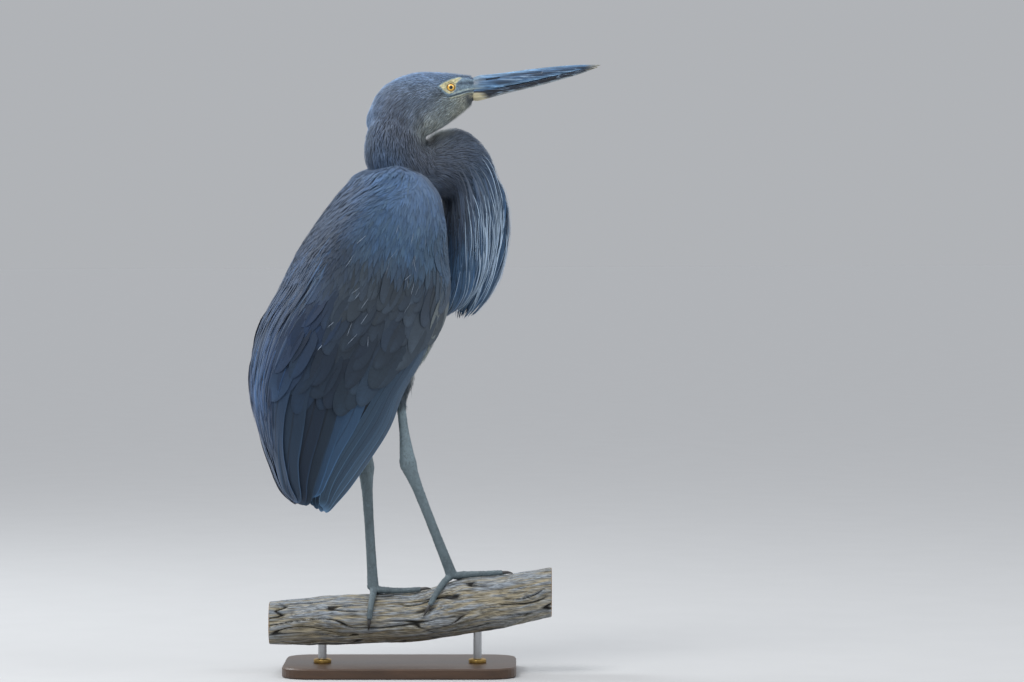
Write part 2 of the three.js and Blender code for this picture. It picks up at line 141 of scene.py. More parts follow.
class Finish:
    """One material: a Principled shader whose fixed values are set on its own sockets."""

    def __init__(self, name, **fixed):
        self.material = bpy.data.materials.new(name)
        self.material.use_nodes = True
        self.tree = self.material.node_tree
        self.tree.nodes.clear()
        inputs = {key.replace("_", " "): value for key, value in fixed.items()}
        self.shader = self.node("ShaderNodeBsdfPrincipled", {}, inputs)
        self.node("ShaderNodeOutputMaterial", {}, {"Surface": self.shader.outputs[0]})

    def node(self, kind, settings, inputs):
        node = self.tree.nodes.new(kind)
        for key, value in settings.items():
            setattr(node, key, value)
        for key, value in inputs.items():
            self.feed(node.inputs[key], value)
        return node

    def feed(self, socket, value):
        value = getattr(value, "socket", value)
        if isinstance(value, bpy.types.NodeSocket):
            self.tree.links.new(value, socket)
        else:
            socket.default_value = value

    def number(self, socket):
        return Number(self, socket)

    def place(self, scale=(1, 1, 1), turn=0.0):
        """The point on the object, in metres, turned back and then scaled along each axis."""
        where = self.node("ShaderNodeTexCoord", {}, {}).outputs["Object"]
        inputs = {
            "Vector": where, "Rotation": (0, 0, turn), "Scale": tuple(1 / s for s in scale),
        }
        return self.node("ShaderNodeMapping", {"vector_type": "TEXTURE"}, inputs).outputs[0]

    def axes(self, vector):
        split = self.node("ShaderNodeSeparateXYZ", {}, {"Vector": vector})
        return [self.number(socket) for socket in split.outputs]

    def join(self, x, y, z):
        return self.node("ShaderNodeCombineXYZ", {}, {0: x, 1: y, 2: z}).outputs[0]

    def along(self, name):
        """A UV map as two numbers."""
        uv = self.node("ShaderNodeUVMap", {"uv_map": name}, {}).outputs[0]
        return self.axes(uv)[:2]

    def attribute(self, name):
        return self.node("ShaderNodeAttribute", {"attribute_name": name}, {}).outputs

    def grain(self, vector, scale, detail=3.0, rough=0.55, warp=0.0):
        inputs = {
            "Vector": vector, "Scale": scale, "Detail": detail,
            "Roughness": rough, "Distortion": warp,
        }
        return self.number(self.node("ShaderNodeTexNoise", {}, inputs).outputs["Fac"])

    def cells(self, vector, scale):
        """The distance to the edge of the nearest cell."""
        settings = {"feature": "DISTANCE_TO_EDGE"}
        inputs = {"Vector": vector, "Scale": scale}
        node = self.node("ShaderNodeTexVoronoi", settings, inputs)
        return self.number(node.outputs["Distance"])

    def mix(self, share, first, second):
        settings = {"data_type": "RGBA", "blend_type": "MIX"}
        node = self.node("ShaderNodeMix", settings, {0: share, 6: first, 7: second})
        return node.outputs[2]

    def shade(self, colour, amount):
        """A colour made lighter or darker by a number."""
        settings = {"operation": "SCALE"}
        node = self.node("ShaderNodeVectorMath", settings, {0: colour, "Scale": amount})
        return node.outputs[0]

    def bump(self, height, depth):
        inputs = {"Height": height, "Distance": depth, "Strength": 1.0}
        return self.node("ShaderNodeBump", {}, inputs).outputs[0]

    def wear(self, **channels):
        """Feeds the sockets that may change over the surface."""
        for key, value in channels.items():
            self.feed(self.shader.inputs[key.replace("_", " ")], value)


def tone(red, green, blue):
    """A colour given as a painter's 0 to 255, as the linear light that a shader works in."""
    return tuple(((c / 255 + 0.055) / 1.055) ** 2.4 for c in (red, green, blue)) + (1.0,)


def rgb(red, green, blue):
    """The same colour as an array of three numbers, for colours that a mesh carries."""
    return np.array(tone(red, green, blue)[:3])

# %% [markdown]
# ## Floor
# The floor is one pale plane, so wide that its edge lies far behind the bird. A faint speckle
# keeps it from being one flat colour.

# %% Floor
floor_size = 120
bpy.ops.mesh.primitive_plane_add(size=floor_size)
floor = bpy.context.object
floor.name = "floor"
floor_finish = Finish("pale floor", Roughness=0.85, Specular_IOR_Level=0.1)
speckle = floor_finish.grain(floor_finish.place(), 9, 4)
floor_finish.wear(
    Base_Color=floor_finish.mix(speckle, tone(186, 187, 188), tone(191, 192, 193)),
)
floor.data.materials.append(floor_finish.material)

# %% [markdown]
# ## Light
# A dark bird needs soft light from above, so that its feather edges show and its underside
# stays quiet. Three round lamps and a pale sky do that: the key lamp behind the tail on the
# camera's side, the rim lamp behind the bird on its far side, and a weaker one ahead of it.
# The sky is darker near the horizon, close to the floor's brightness, so that no hard line
# passes behind the bird.

# %% Sky and lamps
horizon_height, horizon_colour = 0.05, (0.436, 0.450, 0.472, 1)
zenith_height, zenith_colour = 0.85, (0.98, 1.0, 1.04, 1)
lamp_target = Vector((0, 0, 0.55))

world = bpy.data.worlds.new("studio sky")
bpy.context.scene.world = world
world.use_nodes = True
sky = world.node_tree.nodes["Background"]
place = world.node_tree.nodes.new("ShaderNodeTexCoord")
split = world.node_tree.nodes.new("ShaderNodeSeparateXYZ")
ramp = world.node_tree.nodes.new("ShaderNodeValToRGB")
world.node_tree.links.new(place.outputs["Generated"], split.inputs[0])
world.node_tree.links.new(split.outputs[2], ramp.inputs[0])
world.node_tree.links.new(ramp.outputs[0], sky.inputs["Color"])
ramp.color_ramp.elements[0].position = horizon_height
ramp.color_ramp.elements[0].color = horizon_colour
ramp.color_ramp.elements[1].position = zenith_height
ramp.color_ramp.elements[1].color = zenith_colour
sky.inputs["Strength"].default_value = 1.0


def lamp(name, turn, rise, distance, size, power, colour):
    """A round lamp that faces the bird from a direction, in degrees round and up."""
    a = math.radians(turn)
    e = math.radians(rise)
    way = Vector((math.sin(a) * math.cos(e), -math.cos(a) * math.cos(e), math.sin(e)))
    bpy.ops.object.light_add(type="AREA", location=lamp_target + way * distance)
    light = bpy.context.object
    light.name = name
    light.data.shape = "DISK"
    light.data.size = size
    light.data.energy = power
    light.data.color = colour
    light.rotation_euler = way.to_track_quat("Z", "Y").to_euler()


lamp("key lamp", -62, 52, 3.2, 1.6, 54, (1.0, 0.99, 0.97))
lamp("rim lamp", -140, 35, 3.0, 1.2, 40, (0.93, 0.97, 1.0))
lamp("front lamp", 40, 38, 3.4, 1.4, 17, (0.96, 0.98, 1.0))
bpy.context.scene.view_settings.view_transform = "Standard"

# %% [markdown]
# ## One surface from many nodes
# The CAD model parts the animal into head, neck, trunk and limbs. Living skin has no such
# seams. So copies of the nodes are swollen a little until they touch, joined, and remeshed
# into one closed surface, and the facets are smoothed away. The CAD nodes themselves are left
# as they are.

# %% Join copies of nodes into one surface
mm = 0.001
swell = 0.4 * mm


def select_only(*objects):
    bpy.ops.object.select_all(action="DESELECT")
    for each in objects:
        each.select_set(True)
    bpy.context.view_layer.objects.active = objects[-1]


def smooth(piece):
    """Shades a whole piece smoothly."""
    select_only(piece)
    bpy.ops.object.shade_smooth()


def apply(piece, kind, **settings):
    """Adds a modifier with these settings and applies it."""
    select_only(piece)
    modifier = piece.modifiers.new(kind.lower(), kind)
    for key, value in settings.items():
        setattr(modifier, key, value)
    bpy.ops.object.modifier_apply(modifier=modifier.name)


def edit_all(piece):
    """Opens a mesh in edit mode with everything selected, and leaves edit mode on."""
    select_only(piece)
    bpy.ops.object.mode_set(mode="EDIT")
    bpy.ops.mesh.select_all(action="SELECT")


def merged_copy(name, nodes):
    """Copies of CAD nodes as one mesh, each with its doubled corners merged and swollen."""
    copies = []
    for node in nodes:
        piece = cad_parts[node].copy()
        piece.data = piece.data.copy()
        bpy.context.collection.objects.link(piece)
        piece.parent = None
        for key in list(piece.keys()):
            del piece[key]
        edit_all(piece)
        bpy.ops.mesh.remove_doubles(threshold=0.01 * mm)
        bpy.ops.object.mode_set(mode="OBJECT")
        apply(piece, "DISPLACE", strength=swell, mid_level=0)
        copies.append(piece)
    select_only(*copies)
    if len(copies) > 1:
        bpy.ops.object.join()
    joined = bpy.context.object
    joined.name = name
    joined.data.name = name
    joined.data.materials.clear()
    return joined


def corners(piece):
    """The vertices of a mesh as an array of points."""
    found = np.empty(len(piece.data.vertices) * 3)
    piece.data.vertices.foreach_get("co", found)
    return found.reshape(-1, 3)


def move_corners(piece, places):
    piece.data.vertices.foreach_set("co", np.asarray(places, dtype=np.float32).ravel())
    piece.data.update()


head_turn = math.radians(-25)
head_way = np.array([math.cos(head_turn), math.sin(head_turn), 0.0])
head_side = np.array([-math.sin(head_turn), math.cos(head_turn), 0.0])


def head_frame(points):
    """Points as distances ahead along the turned head, aside from it and up."""
    points = np.asarray(points)
    return np.stack([points @ head_way, points @ head_side, points[..., 2]], axis=-1)


def outward(piece):
    """The normals at the vertices of a mesh."""
    found = np.empty(len(piece.data.vertices) * 3)
    piece.data.vertex_normals.foreach_get("vector", found)
    return found.reshape(-1, 3)


def surface_tree(piece):
    faces = [tuple(face.vertices) for face in piece.data.polygons]
    return BVHTree.FromPolygons([tuple(p) for p in corners(piece)], faces)


sides = ("left", "right")
toe_names = ("hind", "inner", "middle", "outer")
leg_nodes = [f"{part}_{side}" for side in sides for part in ("shank", "tarsus")]
toe_nodes = [f"toe_{side}_{toe}" for side in sides for toe in toe_names]
neck_nodes = ["neck_upper", "neck_middle", "neck_lower"]
trunk_nodes = ["trunk"] + [f"wing_{side}_coverts" for side in sides]
thigh_nodes = [f"thigh_{side}" for side in sides]
flesh_nodes = ["head"] + neck_nodes + trunk_nodes + thigh_nodes + leg_nodes + toe_nodes

# %% [markdown]
# To treat each region in its own way, the script asks which CAD node a point is nearest to.
# One search tree holds the triangles of all those nodes, and a list says whose each is.

# %% Which node a point belongs to
def owner_tree(nodes):
    points = []
    faces = []
    owners = []
    for index, node in enumerate(nodes):
        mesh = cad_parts[node].data
        start = len(points)
        points += [tuple(vertex.co) for vertex in mesh.vertices]
        for face in mesh.polygons:
            faces.append([start + corner for corner in face.vertices])
            owners.append(index)
    return BVHTree.FromPolygons(points, faces), np.array(owners)


flesh_tree, flesh_owner = owner_tree(flesh_nodes)


def owners_at(points):
    nearest = [flesh_tree.find_nearest(point)[2] for point in points]
    return flesh_owner[nearest]


def spread(mesh, values, rounds):
    """Evens out numbers at a mesh's vertices by averaging over its edges."""
    ends = np.empty(len(mesh.edges) * 2, dtype=np.int64)
    mesh.edges.foreach_get("vertices", ends)
    a, b = ends.reshape(-1, 2).T
    count = len(values)
    degree = np.bincount(a, minlength=count) + np.bincount(b, minlength=count)
    for _ in range(rounds):
        total = np.bincount(a, values[b], count) + np.bincount(b, values[a], count)
        values = 0.5 * values + 0.5 * total / np.maximum(degree, 1)
    return values

# %% [markdown]
# ## Skin
# The skin lies inside the coat, so the joined surface is drawn in by the coat's depth: deep
# on the body, shallow on the head, and hardly at all on the bare face and legs. Remeshing
# makes an even net of small squares. On the body most of them are then merged again, because
# feathers cover them, and the face and legs keep theirs.

# %% Skin from the flesh nodes
skin_voxel = 1.4 * mm
coat_depth = {
    "head": 1.5, "neck_upper": 2.6, "neck_middle": 3.0, "neck_lower": 4.0, "trunk": 5.0,
    "coverts": 6.0, "thigh": 2.6, "shank": 0.5, "tarsus": 0.4, "toe": 0.4,
}
smooth_rounds = {
    "head": 6, "neck_upper": 22, "neck_middle": 22, "neck_lower": 22, "trunk": 22,
    "coverts": 22, "thigh": 10, "shank": 3, "tarsus": 2, "toe": 2,
}


def by_region(table, node):
    """The value for a node, from the first region whose name is in the node's name."""
    return next(value for key, value in table.items() if key in node)


lip_ahead = 107 * mm
lip = merged_copy("bill root", ["bill_upper", "bill_lower"])
edit_all(lip)
bpy.ops.mesh.bisect(
    plane_co=tuple(head_way * lip_ahead), plane_no=tuple(head_way), use_fill=True,
    clear_outer=True,
)
bpy.ops.object.mode_set(mode="OBJECT")
skin = merged_copy("skin", flesh_nodes)
select_only(lip, skin)
bpy.ops.object.join()
apply(skin, "REMESH", mode="VOXEL", voxel_size=skin_voxel)
owner = owners_at(corners(skin))
rounds_wanted = np.array([by_region(smooth_rounds, node) for node in flesh_nodes])[owner]
rounds_wanted = spread(skin.data, rounds_wanted.astype(float), 8)
places = corners(skin)
for step in range(max(smooth_rounds.values())):
    evened = np.stack([spread(skin.data, places[:, k], 1) for k in range(3)], axis=1)
    places = np.where((rounds_wanted > step)[:, None], evened, places)
move_corners(skin, places)
body_share = np.array([
    0.0 if any(part in node for part in ("head", "shank", "tarsus", "toe")) else 1.0
    for node in flesh_nodes
])[owner]
body_share = spread(skin.data, body_share, 6)
group = skin.vertex_groups.new(name="under feathers")
for level in range(1, 11):
    chosen = np.flatnonzero(np.ceil(body_share * 10) == level)
    group.add(chosen.tolist(), level / 10, "REPLACE")
body_left = 0.24
apply(skin, "DECIMATE", ratio=body_left, vertex_group=group.name)
skin.vertex_groups.clear()
print("skin:", len(skin.data.vertices), "vertices,", len(skin.data.polygons), "faces")

# %% [markdown]
# The bare face is finer than the rest: the line of the gape, the flat skin before the eye and
# the pale patch round it are only a few millimetres wide. Its faces are subdivided before
# they are shaped.

# %% Finer net on the face
face_start = 46 * mm
face_low = 806 * mm


def select_faces(piece, wanted):
    """Selects the faces whose centre the test accepts, and leaves edit mode on."""
    select_only(piece)
    bpy.ops.object.mode_set(mode="EDIT")
    bpy.ops.mesh.select_mode(type="FACE")
    bpy.ops.mesh.select_all(action="DESELECT")
    net = bmesh.from_edit_mesh(piece.data)
    for face in net.faces:
        face.select = wanted(face.calc_center_median())
    bmesh.update_edit_mesh(piece.data)


select_faces(
    skin, lambda c: bool(head_frame(c)[0] > face_start and c.z > face_low)
)
bpy.ops.mesh.subdivide(number_cuts=1, smoothness=0)
bpy.ops.object.mode_set(mode="OBJECT")
print("skin with a finer face:", len(skin.data.polygons), "faces")

# %% [markdown]
# Now the surface is drawn in along its own normals, and the lower hem of each wing also
# towards the middle, so that it stays under the flight feathers. The line of the gape runs
# from the bill back under the eye, and it is pressed in as a narrow groove. Points for such
# lines are in millimetres ahead of the bird's middle and above the floor, from its side.

# %% Draw the skin in and press the gape
gape_line = ((70, 817), (86, 821.5), (95, 825), (109, 826.8))
gape_width = 1.0
gape_depth = 1.3
lore_centre = (92, 832)
lore_reach = 8.0
lore_depth = 0.9
horn_start = 105 * mm
hem_heights = (405, 450)
hem_shifts = (4.5, 0)


def side_distance(points, line):
    """Distance in mm, seen from the side, from points in metres to a line of side points."""
    flat = head_frame(points)[:, [0, 2]] / mm
    best = np.full(len(flat), np.inf)
    for start, end in zip(line[:-1], line[1:]):
        a = np.array(start, float)
        b = np.array(end, float)
        share = np.clip((flat - a) @ (b - a) / ((b - a) @ (b - a)), 0, 1)
        best = np.minimum(best, np.linalg.norm(flat - a - share[:, None] * (b - a), axis=1))
    return best


places = corners(skin)
owner = owners_at(places)
depth = np.array([by_region(coat_depth, node) for node in flesh_nodes])[owner]
bare_face = np.array([
    (53, 831), (61, 838), (74, 844), (85, 846), (96, 843.5), (112, 844), (112, 822),
    (96, 822), (85, 817), (71, 814.5), (63, 822),
], float)


def inside(points, outline):
    """Which points in metres lie inside an outline of side points in mm."""
    x, _, z = head_frame(points).T / mm
    found = np.zeros(len(points), bool)
    for (x0, z0), (x1, z1) in zip(outline, np.roll(outline, -1, axis=0)):
        crosses = (z0 > z) != (z1 > z)
        slope = (x1 - x0) / (z1 - z0 if z1 != z0 else 1e-9)
        found ^= crosses & (x < x0 + (z - z0) * slope)
    return found


ahead, aside, height = head_frame(places).T
bare = inside(places, bare_face) & (np.abs(aside) > 6 * mm)
bare |= (ahead > horn_start) & (height > face_low)
depth = np.where(bare, 0.2, depth)
depth = spread(skin.data, depth, 5) + 0.6 * np.clip((ahead / mm - 98) / 6, 0, 1) * (
    height > face_low
)
groove = gape_depth * np.exp(-(side_distance(places, gape_line) / gape_width) ** 2)
lore = lore_depth * np.exp(-(side_distance(places, (lore_centre, (101, 834))) / lore_reach) ** 4)
on_face = (ahead > face_start) & (height > face_low)
depth = depth + np.where(on_face, groove + lore, 0)
places = places - outward(skin) * (depth * mm)[:, None]
on_wing = np.array(["coverts" in node for node in flesh_nodes])[owner]
hem = np.interp(places[:, 2] / mm, hem_heights, hem_shifts) * on_wing
places[:, 1] -= np.sign(places[:, 1]) * hem * mm
move_corners(skin, places)
apply(skin, "SMOOTH", factor=0.4, iterations=2)
smooth(skin)
print("skin drawn in by", round(depth.min(), 1), "to", round(depth.max(), 1), "mm")

# %% [markdown]
# ## Feathers as meshes
# Hair systems and instances are lost when a model is exported, so every feather is real mesh.
# One feather is a thin closed vane: a line of rings from its root to its tip, arched across,
# with a flat underside, closed by a point at each end. Thousands of them share one recipe, so
# they are worked out together as arrays, and each tract of the coat becomes one joined mesh.
# Small tufts have rings of three corners, and long feathers have more.

# %% One mesh of many vanes
class Coat:
    """Gathers vanes of one piece, then makes them one mesh."""

    def __init__(self, name):
        self.name = name
        self.batches = []

    def add(self, path, out, half_width, arch, tint, across=3, roll=None):
        """path and out are (vanes, stations, 3), half_width (vanes, stations) and tint
        (vanes, 4). arch is how far the edges drop, as a share of the half width."""
        vanes, stations, _ = path.shape
        heading = np.gradient(path, axis=1)
        heading /= np.linalg.norm(heading, axis=2, keepdims=True) + 1e-12
        side = np.cross(out, heading)
        side /= np.linalg.norm(side, axis=2, keepdims=True) + 1e-12
        up = np.cross(heading, side)
        if roll is not None:
            lean = roll[:, None, None]
            side, up = side * np.cos(lean) + up * np.sin(lean), up * np.cos(lean) - side * np.sin(lean)
        x = np.linspace(-1, 1, across)
        rings = slice(1, stations - 1)
        centre = path[:, rings, None, :]
        wide = half_width[:, rings, None, None]
        drop = np.maximum(arch * wide, 0.1 * mm) * (x ** 2)[None, None, :, None]
        ring = centre + side[:, rings, None, :] * wide * x[None, None, :, None]
        ring = ring - up[:, rings, None, :] * drop
        points = np.concatenate([
            path[:, :1], ring.reshape(vanes, -1, 3), path[:, -1:]
        ], axis=1)
        share = np.linspace(0, 1, stations)
        along = np.concatenate([[0.0], np.repeat(share[rings], across), [1.0]])
        over = np.concatenate([[0.5], np.tile((x + 1) / 2, stations - 2), [0.5]])
        self.batches.append((points, along, over, tint, across, path[:, 0]))

    def faces(self, stations, across):
        """Triangles of one vane. The first are its top and the rest its underside."""
        first = lambda ring: 1 + ring * across
        rings = stations - 2
        last = 1 + rings * across
        top = []
        under = []
        for k in range(across - 1):
            top.append((0, first(0) + k + 1, first(0) + k))
            top.append((last, first(rings - 1) + k, first(rings - 1) + k + 1))
        under.append((0, first(0), first(0) + across - 1))
        under.append((last, first(rings - 1) + across - 1, first(rings - 1)))
        for ring in range(rings - 1):
            a, b = first(ring), first(ring + 1)
            for k in range(across - 1):
                top += [(a + k, a + k + 1, b + k + 1), (a + k, b + k + 1, b + k)]
            z = across - 1
            under += [(a, b, b + z), (a, b + z, a + z)]
        return np.array(top), np.array(under)

    def build(self, finish, ground, sharp=50):
        """Makes the mesh, its maps and its colours. ground is the skin it grows from."""
        points, tops, unders, along, over, tints, roots, whose = [], [], [], [], [], [], [], []
        start = 0
        vane_start = 0
        for batch, t, u, tint, across, root in self.batches:
            vanes, each, _ = batch.shape
            top, under = self.faces((each - 2) // across + 2, across)
            offset = start + np.arange(vanes)[:, None, None] * each
            points.append(batch.reshape(-1, 3))
            tops.append((top[None] + offset).reshape(-1, 3))
            unders.append((under[None] + offset).reshape(-1, 3))
            along.append(np.tile(t, vanes))
            over.append(np.tile(u, vanes))
            tints.append(np.repeat(tint, each, axis=0))
            roots.append(root)
            whose.append(np.repeat(vane_start + np.arange(vanes), each))
            start += vanes * each
            vane_start += vanes
        points = np.concatenate(points)
        top = np.concatenate(tops)
        under = np.concatenate(unders)
        triangles = np.concatenate([top, under])
        along = np.concatenate(along)
        over = np.concatenate(over)
        roots = np.concatenate(roots)
        whose = np.concatenate(whose)
        mesh = bpy.data.meshes.new(self.name)
        mesh.vertices.add(len(points))
        mesh.vertices.foreach_set("co", points.astype(np.float32).ravel())
        mesh.loops.add(triangles.size)
        mesh.loops.foreach_set("vertex_index", triangles.astype(np.int32).ravel())
        mesh.polygons.add(len(triangles))
        starts = np.arange(0, triangles.size, 3, dtype=np.int32)
        mesh.polygons.foreach_set("loop_start", starts)
        mesh.update(calc_edges=True)
        corner = triangles.ravel()
        is_under = np.repeat(np.arange(len(triangles)) >= len(top), 3)
        vane_map = np.stack([over[corner], along[corner]], axis=1)
        layer = mesh.uv_layers.new(name="Vane")
        layer.uv.foreach_set("vector", vane_map.astype(np.float32).ravel())
        patch = 0.003
        across_patch = np.where(is_under, 0.8 + 0.2 * over[corner], 0.76 * over[corner])
        in_patch = np.stack([across_patch, along[corner]], axis=1) * patch
        bake = ground.unwrap(roots)[whose[corner]] * (1 - patch) + in_patch
        layer = mesh.uv_layers.new(name="OFBake")
        layer.uv.foreach_set("vector", bake.astype(np.float32).ravel())
        colours = np.concatenate(tints).astype(np.float32)
        mesh.attributes.new("tint", "FLOAT_COLOR", "POINT")
        mesh.attributes["tint"].data.foreach_set("color", colours.ravel())
        piece = bpy.data.objects.new(self.name, mesh)
        bpy.context.collection.objects.link(piece)
        mesh.materials.append(finish.material)
        select_only(piece)
        bpy.ops.object.shade_smooth_by_angle(angle=math.radians(sharp))
        print(f"{self.name}: {vane_start} vanes, {len(triangles)} triangles")
        assert len(triangles) < 200_000, "a coat piece is too heavy"
        return piece

# %% [markdown]
# Each coat piece also carries a map named OFBake, in which every feather is a small patch at
# the place where its root stands on the unwrapped skin. A coarse copy of the skin is
# unwrapped once for this, by the angles of its own shape, and a search tree finds the face
# under each root. The part of the map that one piece uses is stretched over the whole square.

# %% Unwrap of the skin's own shape
class Ground:
    """A coarse, unwrapped copy of the skin, which gives each root its place on the map."""

    def __init__(self, source, voxel):
        select_only(source)
        bpy.ops.object.duplicate()
        copy = bpy.context.object
        apply(copy, "REMESH", mode="VOXEL", voxel_size=voxel)
        apply(copy, "TRIANGULATE")
        edit_all(copy)
        bpy.ops.uv.smart_project(angle_limit=math.radians(66), island_margin=0.004)
        bpy.ops.object.mode_set(mode="OBJECT")
        self.points = corners(copy)
        self.triangles = np.array([tuple(face.vertices) for face in copy.data.polygons])
        flat = np.empty(len(copy.data.loops) * 2)
        copy.data.uv_layers.active.uv.foreach_get("vector", flat)
        self.flat = flat.reshape(-1, 3, 2)
        self.tree = surface_tree(copy)
        bpy.data.objects.remove(copy)
        print("unwrapped ground:", len(self.triangles), "triangles")

    def unwrap(self, roots):
        hits = [self.tree.find_nearest(root) for root in roots]
        face = np.array([hit[2] for hit in hits])
        spot = np.array([tuple(hit[0]) for hit in hits])
        a, b, c = (self.points[self.triangles[face, k]] for k in range(3))
        whole = np.cross(b - a, c - a)
        area = np.einsum("ij,ij->i", whole, whole)
        u = np.einsum("ij,ij->i", np.cross(b - spot, c - spot), whole) / area
        v = np.einsum("ij,ij->i", np.cross(c - spot, a - spot), whole) / area
        weights = np.clip(np.stack([u, v, 1 - u - v], axis=1), 0, 1)
        weights /= weights.sum(axis=1, keepdims=True)
        found = np.einsum("ik,ikj->ij", weights, self.flat[face])
        low = found.min(axis=0)
        return (found - low) / (found.max(axis=0) - low)


ground = Ground(skin, 6 * mm)

# %% [markdown]
# ## Markings
# The bird is slate-blue all over, yet no two places match: the crown is paler, the cheeks and
# the neck are tinged with brown, the wing coverts are darker and duller, and the back is
# bluest. Each marking is a soft spot of colour at a place on the body, and the colour anywhere
# is the mean of the spots near it. The skin and every feather take their colour from this one
# function.

# %% Markings of skin and coat
markings = (
    # ahead, aside, height and reach in mm, then the colour
    (25, 0, 852, 24, (124, 152, 188)),
    (60, 0, 853, 20, (122, 148, 182)),
    (92, 0, 850, 18, (112, 136, 166)),
    (30, 26, 812, 26, (112, 128, 148)),
    (-5, 28, 790, 30, (94, 104, 122)),
    (-42, 0, 800, 26, (120, 146, 180)),
    (70, 20, 806, 16, (150, 164, 168)),
    (46, 14, 778, 20, (172, 180, 174)),
    (84, 8, 800, 14, (188, 192, 178)),
    (100, 9, 814, 7, (56, 70, 86)),
    (88, 14, 814, 5, (196, 200, 186)),
    (56, 22, 819, 5, (34, 46, 62)),
    (84, 18, 847, 6, (60, 78, 100)),
    (-52, 0, 775, 22, (92, 114, 144)),
    (-44, 10, 735, 36, (72, 86, 106)),
    (10, 36, 730, 34, (82, 90, 104)),
    (70, 40, 740, 34, (84, 94, 110)),
    (110, 30, 765, 32, (84, 100, 122)),
    (125, 36, 700, 38, (56, 82, 110)),
    (150, 20, 640, 40, (52, 80, 108)),
    (90, 36, 600, 44, (66, 96, 128)),
    (70, 40, 670, 28, (52, 58, 70)),
    (-50, 40, 705, 40, (64, 98, 138)),
    (-110, 30, 660, 52, (42, 64, 92)),
    (-170, 0, 570, 62, (34, 58, 88)),
    (0, 80, 660, 44, (90, 116, 150)),
    (-60, 80, 610, 46, (62, 92, 124)),
    (20, 90, 590, 46, (60, 87, 112)),
    (-90, 86, 530, 50, (52, 63, 74)),
    (0, 90, 500, 50, (50, 62, 76)),
    (-110, 80, 440, 50, (36, 50, 66)),
    (-30, 86, 420, 46, (42, 56, 70)),
    # painted shade: this spot at the rear edge of the back is darker than the feathers' own colour,
    # for the shade there
    (-190, 40, 480, 40, (14, 42, 74)),
    (-214, 0, 480, 30, (42, 78, 118)),
    # painted shade: this spot low on the back, over the inner flight feathers, is darker than their
    # own colour, for the shade there
    (-140, 60, 330, 60, (20, 38, 56)),
    (-188, 40, 375, 34, (32, 56, 84)),
    (-145, 50, 600, 36, (10, 26, 44)),
    (-60, 60, 350, 44, (56, 80, 102)),
    (60, 40, 520, 44, (70, 90, 110)),
    (20, 0, 440, 50, (112, 124, 122)),
    (45, 26, 465, 34, (206, 216, 204)),
    (-30, 34, 440, 34, (82, 90, 100)),
    (-30, 34, 360, 34, (96, 104, 108)),
)
head_markings = 14


def marked(points):
    """The coat's own colour at points on or near the skin."""
    total = np.full(len(points), 1e-9)
    colour = np.zeros((len(points), 3))
    for index, (ahead, aside, height, reach, tones) in enumerate(markings):
        flat = head_frame(points) if index < head_markings else points
        place = np.array([ahead, aside, height])
        gap = np.linalg.norm(np.abs(flat / mm * [0, 1, 0]) + flat / mm * [1, 0, 1] - place, axis=1)
        weight = np.exp(-(gap / reach) ** 2) + 1e-5 / (1 + (gap / reach) ** 4)
        total += weight
        colour += weight[:, None] * rgb(*tones)
    return colour / total[:, None]


clump_pitch = 85.0
clump_share = 0.42


def tinted(points, chance, spread_share=0.10, lift=1.0, edge=0.5):
    """Colours for vanes with these roots, each a little lighter or darker than the next,
    and lighter or darker together in clumps."""
    colour = marked(points) * lift
    clumps = np.array([noise.noise(Vector(point) * clump_pitch) for point in points])
    light = 1 + spread_share * chance.standard_normal(len(points)) + clump_share * clumps
    warm = 1 + 0.04 * chance.standard_normal((len(points), 1)) * np.array([[1, 0.2, -1]])
    colour = np.clip(colour * light[:, None] * warm, 0.004, 0.95)
    return np.column_stack([colour, np.full(len(points), edge)])

# %% [markdown]
# ## Lie of the coat
# A groomer combs the coat in a few places and lets the rest follow. Here each combing is a
# place and a direction seen from the bird's side. The lie anywhere is the mean of the
# combings near it, laid flat on the skin. From its root a feather walks over the surface in
# short steps, turning with the lie, so it bends as the body does.

# %% Combing and walking
def lie_from(combings, reach, turned=False):
    """Turns combings, in mm and side view, into a function from points to directions."""
    table = np.array(combings, float)
    forward = head_way if turned else np.array([1.0, 0.0, 0.0])

    def lie(points):
        flat = np.stack([points @ forward, points[:, 2]], axis=1) / mm
        gap = np.linalg.norm(flat[:, None] - table[None, :, :2], axis=2) / reach
        weight = np.exp(-gap ** 2) + 1e-6 / (1 + gap ** 4)
        way = weight @ table[:, 2:]
        way /= np.linalg.norm(way, axis=1, keepdims=True)
        return way[:, :1] * forward + way[:, 1:] * np.array([0.0, 0.0, 1.0])

    return lie


class Surface:
    """A mesh's triangles and smooth normals, with a search tree for the nearest place."""

    def __init__(self, piece):
        piece.data.calc_loop_triangles()
        self.points = corners(piece)
        self.normals = outward(piece)
        self.faces = np.array([tuple(t.vertices) for t in piece.data.loop_triangles])
        self.centres = self.points[self.faces].mean(axis=1)
        self.tree = BVHTree.FromPolygons(self.points.tolist(), self.faces.tolist())

    def settle(self, points):
        """The nearest places on the surface, and the way out of it there."""
        hits = [self.tree.find_nearest(point) for point in points]
        spots = np.array([tuple(hit[0]) for hit in hits])
        outs = self.normals[self.faces[[hit[2] for hit in hits]]].mean(axis=1)
        return spots, outs / np.linalg.norm(outs, axis=1, keepdims=True)


def flatten(way, out):
    way = way - out * np.einsum("ij,ij->i", way, out)[:, None]
    return way / (np.linalg.norm(way, axis=1, keepdims=True) + 1e-9)


